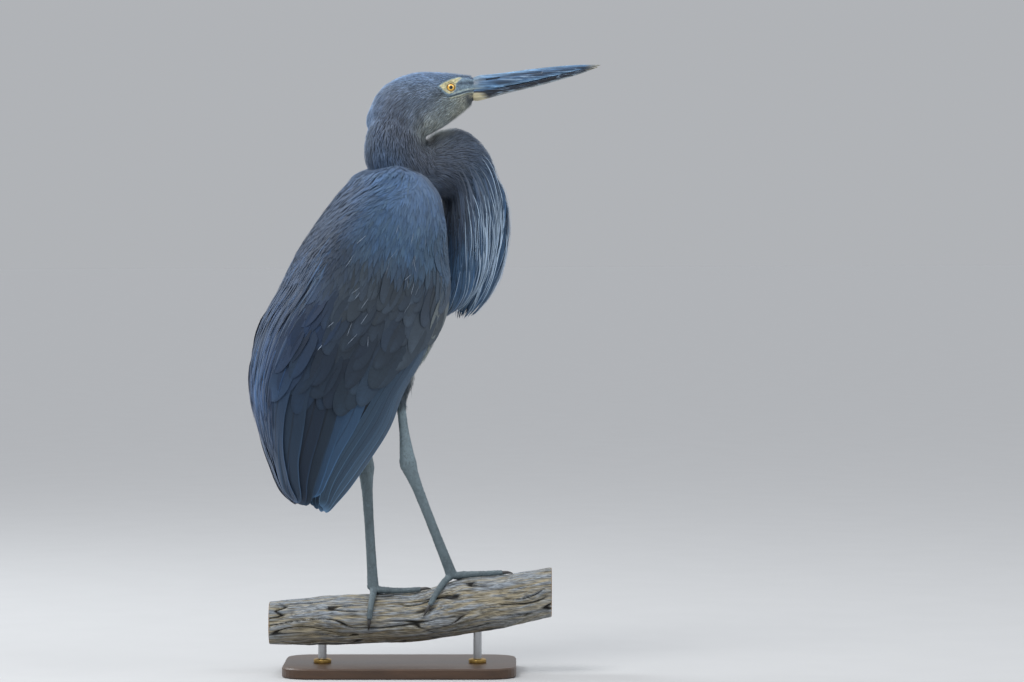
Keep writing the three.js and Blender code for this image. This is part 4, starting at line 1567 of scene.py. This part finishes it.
# %% [markdown]
# ## Foreneck plumes
# A curtain of long lance-shaped plumes hangs from the lower neck: dark blue-grey ones beneath,
# and over them up to 230 silver ones, about a millimetre wide. They walk over the joined
# surface of the neck and the plume pad of the CAD model, and rise from it towards their tips.

# %% Curtain of plumes
curtain = merged_copy("curtain", ["neck_middle", "neck_lower", "neck_plumes"])
apply(curtain, "REMESH", mode="VOXEL", voxel_size=2.2 * mm)
apply(curtain, "SMOOTH", factor=0.5, iterations=14)
curtain_surface = Surface(curtain)
bpy.data.objects.remove(curtain)
plume_lie = lie_from((
    (100, 772, 1, -0.15), (130, 750, 0.75, -0.66), (148, 705, 0.35, -1), (154, 660, 0.02, -1),
    (151, 620, -0.14, -1), (140, 580, -0.28, -1), (124, 545, -0.42, -1), (108, 515, -0.5, -1),
    (110, 720, 0.62, -0.8), (112, 680, 0.3, -1), (108, 640, 0.12, -1), (100, 600, 0.02, -1),
    (95, 560, -0.1, -1), (88, 525, -0.3, -1), (80, 640, 0.1, -1), (76, 580, 0.0, -1),
), 22)


curtain_foot = 500


def hang(coat, count, gap, wanted, lengths, wide, rise, chance, *, most=None, stations=14,
         sway=1.6, spread=0.12, light=1.0, colour=None):
    """Plumes on the curtain from the roots that the test accepts, at most so many."""
    x, y, z = (curtain_surface.centres / mm).T
    chosen = wanted(x, y, z)
    roots = scatter(curtain_surface, chosen, count, gap * mm, chance)[:most]
    long = chance.uniform(*lengths, len(roots))
    long = np.minimum(long, (roots[:, 2] / mm - curtain_foot) * 1.08)
    path, out = comb(curtain_surface, roots, plume_lie, long * mm, stations, 0.05, chance)
    share = np.linspace(0, 1, stations)
    swing = chance.normal(0, sway, (len(roots), 1)) * np.sin(share * 2.6)
    side = np.cross(out, np.gradient(path, axis=1))
    side /= np.linalg.norm(side, axis=2, keepdims=True) + 1e-9
    path = path + out * ((rise * np.sqrt(share) - 1.0 * (1 - share))[None, :, None]
                         + chance.uniform(0, 1.2, (len(roots), 1, 1)) * share[:, None]) * mm
    path = path + side * swing[:, :, None] * mm
    profile = np.minimum(1, 0.3 + share * 2.4) * (1 - share ** 2.5)
    width = wide * (1 + 0.2 * chance.standard_normal((len(roots), 1)))
    tint = tinted(roots, chance, spread, light, 0.6)
    if colour:
        level = 1 + 0.18 * chance.standard_normal((len(roots), 1))
        tint[:, :3] = np.array(colour[:3]) * level
    coat.add(path, out, 0.5 * width * profile[None] * mm, 0.4, tint, 3)


chance = np.random.default_rng(60)
plume_coat = Coat("coat_plumes")
hang(
    plume_coat, 9000, 4.2, lambda x, y, z: (z < 725) & (z > 540) & (x > 66), (46, 80), 3.2,
    0.6, chance, spread=0.2, light=0.95,
)
hang(
    plume_coat, 1800, 4.6, lambda x, y, z: (z < 752) & (z > 590) & (x > 104) & (abs(y) < 44),
    (70, 150), 1.15, 3.2, chance, colour=tone(168, 190, 212), most=160, stations=20, sway=3,
)
hang(
    plume_coat, 700, 6, lambda x, y, z: (z < 690) & (z > 560) & (x > 84) & (x < 130),
    (60, 110), 1.1, 2.6, chance, colour=tone(146, 168, 192), most=70, stations=18, sway=3,
)
plume_piece = plume_coat.build(plume_finish, ground)

# %% [markdown]
# ## Eyes
# A heron's eye is a ball of which only a round window shows. The iris is yellow, darker at its
# rim and streaked towards the pupil, and the wet front gives a sharp highlight, which a clear
# coat on the shader makes. Colours depend on the angle from the eye's own axis, so they are
# rings whatever way the ball faces. The centre and size come from the CAD node.

# %% Eyeballs
pupil_radius = 2.65
iris_radius = 5.1
eye_turn = math.radians(6)


def eye_axis(side):
    """The way the eye looks out: to the head's side, a little ahead and up."""
    way = head_way * math.sin(eye_turn) + head_side * side * math.cos(eye_turn)
    return Vector((way[0], way[1], 0.03)).normalized()


def eye_finish(side, centre, radius):
    finish = Finish(
        f"eye {'left' if side > 0 else 'right'}", Roughness=0.25, Coat_Roughness=0.02,
        Coat_Weight=1.0, Specular_IOR_Level=0.5,
    )
    axis = eye_axis(side)
    settings = {"operation": "SUBTRACT"}
    inputs = {0: finish.place(), 1: tuple(centre)}
    offset = finish.node("ShaderNodeVectorMath", settings, inputs).outputs[0]
    dot = finish.node(
        "ShaderNodeVectorMath", {"operation": "DOT_PRODUCT"}, {0: offset, 1: tuple(axis)}
    ).outputs["Value"]
    cosine = finish.number(dot) / radius
    around = (1 - cosine * cosine).most(0.0) ** 0.5 * (radius / mm)
    streaks = finish.grain(finish.place((1, 1, 1)), 1400, 2)
    streak_share = streaks * 0.5 + finish.grain(finish.place(), 500, 2) * 0.5
    inner = finish.mix(streak_share, tone(214, 150, 28), tone(250, 208, 84))
    rim = around.between(iris_radius - 1.5, iris_radius - 0.1)
    iris = finish.mix(rim * 0.75, inner, tone(196, 130, 20))
    near_pupil = 1 - around.between(pupil_radius, pupil_radius + 0.9)
    iris = finish.mix(near_pupil * 0.5, iris, tone(236, 214, 120))
    white = around.between(iris_radius - 0.15, iris_radius + 0.15)
    colour = finish.mix(white, iris, tone(30, 26, 22))
    pupil = 1 - around.between(pupil_radius - 0.2, pupil_radius + 0.12)
    finish.wear(Base_Color=finish.mix(pupil, colour, tone(3, 3, 4)))
    return finish


def at_origin(piece):
    """Puts a piece's place, turn and size into its mesh."""
    select_only(piece)
    bpy.ops.object.transform_apply(location=True, rotation=True, scale=True)


lid_skin = Finish("eyelid skin", Roughness=0.5, Specular_IOR_Level=0.4)
folds = lid_skin.grain(lid_skin.place(), 900, 3)
lid_skin.wear(
    Base_Color=lid_skin.mix(folds, tone(176, 170, 118), tone(222, 214, 168)),
    Normal=lid_skin.bump(folds, 0.0004),
)
lid_edge = Finish("eyelid edge", Roughness=0.35, Specular_IOR_Level=0.5)
lid_edge.wear(Base_Color=lid_edge.mix(
    lid_edge.grain(lid_edge.place(), 700, 2), tone(28, 26, 24), tone(66, 60, 48)
))
eye_pieces = {}
for side in sides:
    low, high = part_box(f"eye_{side}")
    centre = (low + high) / 2
    radius = (high.z - low.z) / 2
    axis = eye_axis(side_sign[side])
    turn = axis.to_track_quat("Z", "Y").to_euler()
    bpy.ops.mesh.primitive_uv_sphere_add(
        segments=48, ring_count=32, radius=radius, location=centre, rotation=turn
    )
    ball = bpy.context.object
    ball.name = f"eyeball_{side}"
    bpy.ops.object.shade_smooth()
    ball.data.materials.append(eye_finish(side_sign[side], centre, radius).material)
    at_origin(ball)
    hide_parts(f"eye_{side}")
    eye_pieces[ball.name] = (ball, "eye")

    # The lids are rings on the ball: a dark wet edge, then a soft pale fold, wider behind.
    rings = ((5.5, 0.4, 0.0, lid_edge), (6.4, 0.75, -0.1, lid_skin))
    parts = []
    for ring_radius, thick, sink, finish in rings:
        rise = math.sqrt(max(radius ** 2 - (ring_radius * mm) ** 2, (1.6 * mm) ** 2))
        bpy.ops.mesh.primitive_torus_add(
            major_segments=56, minor_segments=12, major_radius=ring_radius * mm,
            minor_radius=thick * mm, location=centre + axis * (rise + sink * mm),
            rotation=turn,
        )
        ring = bpy.context.object
        ring.data.materials.append(finish.material)
        bpy.ops.object.shade_smooth()
        at_origin(ring)
        parts.append(ring)
    select_only(*parts)
    bpy.ops.object.join()
    lid = bpy.context.object
    lid.name = f"eyelids_{side}"
    points = corners(lid)
    offset = points - np.array(centre)
    behind = np.clip(-(offset @ head_way) / (8 * mm), 0, 1.2) ** 3
    points -= behind[:, None] * head_way * 1.4 * mm
    points[:, 2] = centre.z + offset[:, 2] * (1 - 0.18 * behind)
    wrinkle = [noise.noise(Vector(p) * 900) for p in points]
    points += outward(lid) * (np.array(wrinkle) * 0.16 * mm)[:, None]
    move_corners(lid, points)
    eye_pieces[lid.name] = (lid, "bare_skin")
print("eyes:", sorted(eye_pieces), "radius", round(radius / mm, 2), "mm")

# %% [markdown]
# ## Bill
# The bill is a long dagger of horn in two halves. Its upper half has a nasal groove with a
# slit nostril, and both cutting edges are faintly ridged. Copies of the CAD nodes are
# subdivided and remeshed finely, and the grooves are pressed in along lines seen from the
# side. The colour runs in long streaks: pale slate above, a dark band along the cutting edge
# of the lower half, pale lower rims, and a cream patch at the root of the jaw. A painted
# highlight lies along the top, and painted shade lies in the nasal groove and the nostril.

# %% Bill halves
bite_line = ((104, 826), (122, 827), (142, 830), (195, 841), (240, 852), (268, 858), (285, 862))
nasal_groove = ((108, 841), (124, 842.4), (150, 846.2), (200, 852.5))
nostril = ((123, 842.2), (141, 844.8))
jaw_groove = ((108, 818), (142, 824.5), (190, 836), (235, 847.5))
shut_ahead = (112, 140)
shut_rise = (3.0, 0.3)
culmen_line = ((104, 849), (142, 852), (195, 859), (240, 863), (285, 863))


def height_on(line, points):
    """A side line's height in mm at the distance ahead of each point."""
    table = np.array(line, float)
    return np.interp(points @ head_way / mm, table[:, 0], table[:, 1])


def press(points, normals, line, width, depth):
    """Moves points inwards near a side line."""
    amount = depth * np.exp(-(side_distance(points, line) / width) ** 2)
    return points - normals * (amount * np.abs(normals @ head_side) * mm)[:, None]


bill_tones = {
    # pale serves both the painted highlight along the ridge and the pale streak above the cutting
    # edge; deep is painted shade in the nostril slit
    "slate": rgb(66, 108, 150), "pale": rgb(150, 192, 230), "dark": rgb(20, 36, 56),
    "rim": rgb(178, 190, 196), "cream": rgb(206, 196, 160), "tip": rgb(214, 208, 184),
    "deep": rgb(18, 26, 34),
}


def bill_colours(points, lower_half):
    x = points @ head_way / mm
    z = points[:, 2] / mm
    bite = height_on(bite_line, points)
    top = height_on(culmen_line, points)
    colours = np.tile(bill_tones["slate"], (len(points), 1))
    rise = (z - bite) / np.maximum(top - bite, 0.5)
    soft = lambda v, low, high: np.clip((v - low) / (high - low), 0, 1)
    if lower_half:
        fall = bite - z
        thick = np.interp(x, [104, 142, 195, 240, 281], [17, 10, 8.5, 7, 1.5])
        colours = mixed(colours, soft(fall / thick, 0.0, 0.05), bill_tones["dark"])
        rim = soft(fall / thick, 0.62, 0.82) * soft(x, 118, 150)
        colours = mixed(colours, 0.75 * rim, bill_tones["rim"])
        cream = soft(fall, 2.2, 4.4) * (1 - soft(x - 0.9 * fall, 108, 119))
        colours = mixed(colours, cream, bill_tones["cream"])
    else:
        # Painted highlight: the top of the upper half is mixed towards pale blue, for the light that
        # falls on it from above.
        ridge = soft(rise, 0.72, 0.95) * (1 - 0.5 * soft(x, 150, 240))
        colours = mixed(colours, 0.6 * ridge, bill_tones["pale"])
        edge = np.exp(-((rise - 0.10) / 0.10) ** 2) * soft(x, 112, 140)
        colours = mixed(colours, 0.55 * edge, bill_tones["pale"])
        groove = np.exp(-(side_distance(points, nasal_groove) / 1.3) ** 2)
        band = np.exp(-((rise - 0.4) / 0.2) ** 2) * soft(x, 112, 150)
        colours = mixed(colours, 0.65 * band, bill_tones["dark"])
        # Painted shade: the pressed nasal groove is also mixed towards dark, for the shade in it.
        colours = mixed(colours, 0.6 * groove, bill_tones["dark"])
        # Painted shade: the nostril slit is mixed almost to black, for the shade inside it.
        slit = np.exp(-(side_distance(points, nostril) / 0.9) ** 2)
        colours = mixed(colours, slit, bill_tones["deep"])
        face = np.tile(lore_tone, (len(points), 1))
        face = 0.78 * with_face_lines(points, face, np.ones(len(points)))
        colours = mixed(colours, 1 - soft(x, 104, 126), face)
    horn = soft(x, 262, 283)
    return mixed(colours, 0.8 * horn, bill_tones["tip"])


horn_finish = Finish("bill horn", Roughness=0.38, Specular_IOR_Level=0.45, Coat_Roughness=0.25)
lengthwise = horn_finish.place((22, 420, 420), head_turn)
streaks = horn_finish.grain(lengthwise, 1.0, 4, 0.62, 0.6)
fine_streaks = horn_finish.grain(horn_finish.place((60, 1500, 1500), head_turn), 1.0, 2)
flaky = horn_finish.grain(horn_finish.place((70, 260, 260), head_turn), 1.0, 3)
worn = streaks.between(0.52, 0.66) * flaky.between(0.35, 0.6)
horn_tint = horn_finish.attribute("tint")
streaky = horn_finish.number(horn_tint["Alpha"])
horn_colour = horn_finish.shade(
    horn_tint["Color"],
    1 + (streaks.between(0.3, 0.7) * 1.15 + fine_streaks * 0.4 - 1.02) * streaky
)
horn_finish.wear(
    Base_Color=horn_finish.mix(worn * 0.6 * streaky, horn_colour, tone(168, 196, 222)),
    Roughness=0.32 + flaky * 0.25,
    Coat_Weight=0.15 + streaks * 0.2,
    Normal=horn_finish.bump(streaks * 0.7 + fine_streaks * 0.3, 0.0005),
)
root_ahead = 109
root_sink = 5
root_slim = 0.5
bill_pieces = {}
for node in ("bill_upper", "bill_lower"):
    half = merged_copy(f"horn_{node}", [node])
    apply(half, "SUBSURF", levels=2, render_levels=2)
    apply(half, "REMESH", mode="VOXEL", voxel_size=0.6 * mm)
    apply(half, "SMOOTH", factor=0.5, iterations=5)
    points = corners(half) - outward(half) * swell
    ahead = points @ head_way / mm
    root = np.clip((root_ahead - ahead) / root_sink, 0, 1)
    points = points - head_way * (root * root_sink * mm)[:, None]
    points = points - outward(half) * (root * root_slim * mm)[:, None]
    move_corners(half, points)
    if node == "bill_upper":
        points = press(points, outward(half), nasal_groove, 1.6, 0.7)
        points = press(points, outward(half), nostril, 0.9, 1.5)
        above_bite = tuple((x, z + 1.8) for x, z in bite_line[1:-2])
        points = press(points, outward(half), above_bite, 0.7, 0.3)
    else:
        points = press(points, outward(half), jaw_groove, 1.2, 0.5)
        shut = np.interp(points @ head_way / mm, shut_ahead, shut_rise)
        points[:, 2] += np.clip(outward(half)[:, 2], 0, 1) * shut * mm
    move_corners(half, points)
    streaky_share = np.clip((points @ head_way / mm - 106) / 18, 0.15, 1)
    write_tint(half, bill_colours(points, node == "bill_lower"), streaky_share)
    half.data.materials.append(horn_finish.material)
    smooth(half)
    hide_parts(node)
    bill_pieces[node] = half
    print(node, len(half.data.polygons), "faces")

# %% [markdown]
# Where skin meets horn there is no step. The skin's front edge is laid onto the horn, further
# at each millimetre, until it dips just under it.

# %% Lay the skin's edge on the horn
horn_trees = [surface_tree(half) for half in bill_pieces.values()]
places = corners(skin)
ahead = places @ head_way / mm
edge_starts, edge_ends, edge_dip = 97, 105, 0.25 * mm
for index in np.flatnonzero((ahead > edge_starts) & (places[:, 2] > face_low)):
    place = Vector(places[index])
    found = [tree.find_nearest(place) for tree in horn_trees]
    spot, out, _, _ = min(found, key=lambda hit: hit[3])
    share = min(1, (ahead[index] - edge_starts) / (edge_ends - edge_starts))
    share = share * share * (3 - 2 * share)
    places[index] = place.lerp(spot - out * edge_dip, share)
move_corners(skin, places)
print("skin laid on the horn over", edge_ends - edge_starts, "mm")

# %% [markdown]
# ## Legs and feet
# Legs and toes are bare, grey and scaly. The skin gives their shape. Over it lie horn scutes,
# which are small plates, each overlapping the next, and smaller on the toes than on the legs.
# They are made with the same recipe as the feathers, only short, wide and nearly flat.

# %% Scutes
leg_tone = rgb(124, 142, 150)
scute_coat = Coat("leg_scutes")
chance = np.random.default_rng(70)


def scutes(chosen, heading, gap, length, width, chance):
    """Plates over the chosen skin, with their tips towards a heading."""
    way = np.array(heading, float)
    way /= np.linalg.norm(way)
    roots = scatter(skin_surface, chosen, 30000, gap * mm, chance)
    stations = 5
    count = len(roots)
    path, out = comb(
        skin_surface, roots, lambda points: np.tile(way, (len(points), 1)),
        np.full(count, length * mm), stations, 0.06, chance,
    )
    share = np.linspace(0, 1, stations)
    path = path + out * ((-0.1 + 0.35 * np.sin(share * math.pi * 0.62))[None, :, None]) * mm
    half = 0.5 * width * mm * np.sqrt(np.clip(1 - (1.5 * share - 0.6) ** 2, 0.05, 1))
    half = half[None] * (1 + 0.08 * chance.standard_normal((count, 1)))
    level = 1 + 0.05 * chance.standard_normal((count, 1))
    lower = np.interp(roots[:, 2] / mm, [120, 220, 340], [0.5, 0.6, 0.9])[:, None]
    colours = np.clip(leg_tone * level * lower, 0.01, 0.9)
    tint = np.column_stack([colours, np.ones(count)])
    scute_coat.add(path, out, half, 0.2, tint, 5)


tarsus_heading = {"left": Vector((0.06, 0, -1)), "right": Vector((0.35, 0, -1))}
for side in sides:
    low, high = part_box(f"shank_{side}")
    next_low, next_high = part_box(f"tarsus_{side}")
    shank_heading = (next_low + next_high) / 2 - (low + high) / 2
    for part, heading in (("shank", shank_heading), ("tarsus", tarsus_heading[side])):
        scutes(triangle_owner == f"{part}_{side}", heading, 3.1, 6.4, 4.8, chance)
    for toe in toe_names:
        low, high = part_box(f"toe_{side}_{toe}")
        claw_low, claw_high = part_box(f"claw_{side}_{toe}")
        heading = (claw_low + claw_high) / 2 - (low + high) / 2
        scutes(triangle_owner == f"toe_{side}_{toe}", heading, 2.7, 4.6, 4.4, chance)
scute_finish = Finish("leg scutes", Roughness=0.5, Specular_IOR_Level=0.4)
scute_grain = scute_finish.grain(scute_finish.place(), 700, 3)
stain = scute_finish.grain(scute_finish.place((1, 1, 0.4)), 90, 3)
scute_tint = scute_finish.attribute("tint")["Color"]
scute_finish.wear(
    Base_Color=scute_finish.shade(scute_tint, 0.3 + scute_grain * 0.5 + stain * 0.8),
    Roughness=0.42 + scute_grain * 0.2,
    Normal=scute_finish.bump(scute_grain, 0.0003),
)
scute_piece = scute_coat.build(scute_finish, ground)
colours = np.empty(len(skin.data.vertices) * 4, np.float32)
skin.data.attributes["tint"].data.foreach_get("color", colours)
colours = colours.reshape(-1, 4)
leg_share = np.array([
    1.0 if any(part in node for part in ("shank", "tarsus", "toe")) else 0.0
    for node in flesh_nodes
])[owners_at(corners(skin))]
leg_share = spread(skin.data, leg_share, 2)
colours[:, :3] = mixed(colours[:, :3].astype(float), leg_share, leg_tone * 0.62)
skin.data.attributes["tint"].data.foreach_set("color", colours.ravel())

# %% [markdown]
# ## Claws
# Each claw is a copy of its CAD node, subdivided until it is round. Its root is moved into the
# toe by a few millimetres, so that no slit shows between horn and skin.

# %% Claws
claw_finish = Finish("claw horn", Roughness=0.3, Specular_IOR_Level=0.5, Coat_Weight=0.2)
claw_streaks = claw_finish.grain(claw_finish.place((500, 500, 120)), 1.0, 3)
claw_finish.wear(
    Base_Color=claw_finish.mix(claw_streaks, tone(28, 27, 28), tone(74, 72, 70)),
    Normal=claw_finish.bump(claw_streaks, 0.0003),
)
claw_sink = 3.0
claw_pieces = []
for side in sides:
    for toe in toe_names:
        node = f"claw_{side}_{toe}"
        claw = merged_copy(f"horn_{node}", [node])
        apply(claw, "SUBSURF", levels=2, render_levels=2)
        points = corners(claw)
        toe_low, toe_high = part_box(f"toe_{side}_{toe}")
        inward = np.array((toe_low + toe_high) / 2) - points.mean(axis=0)
        inward /= np.linalg.norm(inward)
        rootward = (points - points.mean(axis=0)) @ inward
        share = np.clip(rootward / rootward.max(), 0, 1)
        move_corners(claw, points + inward * (share * claw_sink * mm)[:, None])
        claw.data.materials.append(claw_finish.material)
        smooth(claw)
        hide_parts(node)
        claw_pieces.append(claw)
print("claws:", len(claw_pieces))

# %% [markdown]
# ## The perch
# The branch is old driftwood: its bark is gone, the sun has bleached it to silver, and it has
# split along the grain into fibres, flutes and deep cracks. A copy of the CAD branch is
# remeshed into small squares, and each corner is moved in or out by noise that is stretched
# along the branch, so that lumps become flutes and fine noise becomes fibres. The colour
# follows the same height: pale on the ridges, brown in the furrows and black in the cracks,
# where the black is painted shade.

# %% Weathered branch
branch = merged_copy("branch_wood", ["perch_branch"])
apply(branch, "REMESH", mode="VOXEL", voxel_size=1.3 * mm)
apply(branch, "SMOOTH", factor=0.5, iterations=8)
branch_turn = math.radians(-25)
branch_way = np.array([math.cos(branch_turn), math.sin(branch_turn), 0.0])
branch_side = np.array([-math.sin(branch_turn), math.cos(branch_turn), 0.0])
branch_bow = np.array([
    # distance along the branch, then the height of its middle, in mm
    (-185, 72), (-142, 74), (-28, 77.6), (28, 81), (85, 94), (142, 102), (215, 116),
], float)


def wood_noise(length, pitch, seed, places):
    """Noise in which one lump is this long along the branch and this wide across it."""
    stretch = np.stack([places[:, 0] / length, places[:, 1] / pitch, places[:, 2] / pitch], axis=1)
    return np.array([noise.noise(Vector(p) + Vector((seed, 0, seed))) for p in stretch])


points = corners(branch)
normals = outward(branch)
local = np.stack([points @ branch_way, points @ branch_side, points[:, 2]], axis=1) / mm
local[:, 2] -= np.interp(local[:, 0], branch_bow[:, 0], branch_bow[:, 1])
warp = wood_noise(55, 30, 3.1, local) * 5
warped = local + np.stack([np.zeros(len(local)), warp, -warp], axis=1)
flutes = wood_noise(150, 17, 7.7, warped)
fibres = wood_noise(46, 3.6, 1.3, warped)
threads = wood_noise(26, 1.7, 5.9, warped)
split = 1 - np.abs(wood_noise(80, 11, 9.2, warped)) * 7
split = np.clip(split, 0, 1) ** 1.5 * np.clip(wood_noise(60, 30, 2.4, local) * 3 + 0.75, 0, 1)
on_side = 1 - np.clip((np.abs(normals @ branch_way) - 0.5) / 0.3, 0, 1)
relief = 1.9 * flutes + 1.3 * fibres + 0.6 * threads - 3.6 * split - 0.3
relief = np.minimum(relief, 1.3) * on_side
points = points + normals * (relief * mm)[:, None]
move_corners(branch, points)
ridge = np.clip(0.5 + 1.0 * fibres + 0.9 * threads + 0.6 * flutes, 0, 1)
underneath = np.clip(-normals[:, 2] * 0.9 + 0.25, 0, 1)
silver = rgb(130, 137, 144)
beige = rgb(144, 136, 116)
crack_shade = rgb(26, 24, 22)
wood = beige + (silver - beige) * (ridge * (1 - 0.3 * underneath))[:, None]
# Painted shade: the cracks are mixed almost to black, for the shade inside them.
wood = mixed(wood, np.clip(split * 1.6 - 0.12, 0, 0.95), crack_shade)
age = np.hypot(local[:, 1], local[:, 2])
ring_shade = 0.85 + 0.15 * np.sin(age * 2.4 + 2 * flutes)
heart = rgb(150, 122, 88) * ring_shade[:, None]
wood = mixed(heart, on_side, wood)
write_tint(branch, np.clip(wood, 0.003, 0.9))
branch_finish = Finish("driftwood", Roughness=0.85, Specular_IOR_Level=0.2)
hairline = branch_finish.grain(branch_finish.place((50, 800, 800), branch_turn), 1.0, 3, 0.6, 0.4)
mottle = branch_finish.grain(branch_finish.place(), 45, 4)
branch_finish.wear(
    Base_Color=branch_finish.shade(
        branch_finish.attribute("tint")["Color"],
        0.02 + hairline.between(0.3, 0.7) * 1.15 + mottle * 0.7,
    ),
    Roughness=0.7 + hairline * 0.25,
    Normal=branch_finish.bump(hairline, 0.0006),
)
branch.data.materials.append(branch_finish.material)
smooth(branch)
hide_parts("perch_branch")
relief_range = [round(relief.min(), 1), round(relief.max(), 1)]
print("branch:", len(branch.data.polygons), "faces, relief", relief_range, "mm")

# %% [markdown]
# ## Stand
# The stand keeps its CAD shapes: a low board of dark oiled wood and two steel rods. They only
# get their finishes here: long grain with pores for the board, and fine lines round the rods.
# A turned brass collar is added where each rod enters the board.

# %% Stand finishes and collars
collar_height = 5 * mm
collar_gap = 0.05 * mm
board_finish = Finish("oiled dark wood", Roughness=0.4, Specular_IOR_Level=0.4, Coat_Roughness=0.3)
board_rings = board_finish.grain(board_finish.place((6, 60, 60), branch_turn), 1.0, 4, 0.6, 1.5)
board_pores = board_finish.grain(board_finish.place((90, 1600, 1600), branch_turn), 1.0, 2)
board_finish.wear(
    Base_Color=board_finish.mix(
        board_rings * 0.75 + board_pores * 0.25, tone(34, 24, 18), tone(92, 66, 46)
    ),
    Roughness=0.32 + board_pores * 0.2,
    Coat_Weight=0.2 + board_rings * 0.1,
    Normal=board_finish.bump(board_pores, 0.0002),
)
steel_finish = Finish("brushed steel", Roughness=0.3, Metallic=1.0)
lines = steel_finish.grain(steel_finish.place((90, 90, 2600)), 1.0, 2)
steel_finish.wear(
    Base_Color=steel_finish.mix(lines, tone(150, 152, 154), tone(198, 200, 202)),
    Roughness=0.24 + lines * 0.16,
    Normal=steel_finish.bump(lines, 0.0001),
)
brass_finish = Finish("turned brass", Roughness=0.25, Metallic=1.0)
tarnish = brass_finish.grain(brass_finish.place(), 260, 3)
brass_finish.wear(
    Base_Color=brass_finish.mix(tarnish, tone(150, 118, 62), tone(204, 172, 104)),
    Roughness=0.2 + tarnish * 0.25,
)


def repaint(node, finish):
    """Gives a CAD node another finish, in its own material slots."""
    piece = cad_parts[node]
    if not piece.material_slots:
        piece.data.materials.append(finish.material)
    for each in piece.material_slots:
        each.material = finish.material


repaint("stand_base", board_finish)
collar_pieces = []
board_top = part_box("stand_base")[1].z
for end in ("front", "rear"):
    repaint(f"stand_rod_{end}", steel_finish)
    low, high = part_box(f"stand_rod_{end}")
    rod_radius = (high.x - low.x) / 2
    middle = (low + high) / 2
    bpy.ops.mesh.primitive_cylinder_add(
        vertices=48, radius=rod_radius * 2.1, depth=collar_height,
        location=(middle.x, middle.y, board_top + collar_height / 2 + collar_gap),
    )
    collar = bpy.context.object
    collar.name = f"stand_collar_{end}"
    at_origin(collar)
    select_faces(collar, lambda c: c.z > board_top + collar_height - 0.2 * mm)
    bpy.ops.mesh.inset(thickness=rod_radius * 0.55)
    bpy.ops.transform.translate(value=(0, 0, 1.6 * mm))
    bpy.ops.mesh.inset(thickness=rod_radius * 0.35)
    bpy.ops.transform.translate(value=(0, 0, -0.8 * mm))
    bpy.ops.object.mode_set(mode="OBJECT")
    apply(collar, "BEVEL", width=0.5 * mm, segments=3, limit_method="ANGLE")
    bpy.ops.object.shade_smooth_by_angle(angle=math.radians(35))
    collar.data.materials.append(brass_finish.material)
    collar_pieces.append(collar)
print("collars:", [piece.name for piece in collar_pieces])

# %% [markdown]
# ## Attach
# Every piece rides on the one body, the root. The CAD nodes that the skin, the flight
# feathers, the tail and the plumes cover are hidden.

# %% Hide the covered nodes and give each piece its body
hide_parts(*flesh_nodes)
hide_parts("neck_plumes")
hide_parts("tail")
for side in sides:
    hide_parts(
        f"wing_{side}_secondaries", f"wing_{side}_primaries"
    )
for piece, slot in ((head_piece, "feather_head"), (nape_piece, "feather_neck"),
                    (neck_piece, "feather_neck"), (breast_piece, "feather_body"),
                    (thigh_piece, "feather_body"), (covert_pieces["left"], "feather_body"),
                    (covert_pieces["right"], "feather_body"),
                    (mantle_piece, "feather_body"), (plume_piece, "feather_plume"),
                    (tail_piece, "feather_flight"), (flight_pieces["left"], "feather_flight"),
                    (flight_pieces["right"], "feather_flight")):
    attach(piece, "root")
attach(skin, "root")
for piece, slot in eye_pieces.values():
    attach(piece, "root")
for node, slot in (("bill_upper", "bill"), ("bill_lower", "bill_lower")):
    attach(bill_pieces[node], "root")
for piece in claw_pieces:
    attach(piece, "root")
for piece, slot in ((scute_piece, "leg_skin"), (branch, "perch_wood")):
    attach(piece, "root")
for piece in collar_pieces:
    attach(piece, "root")
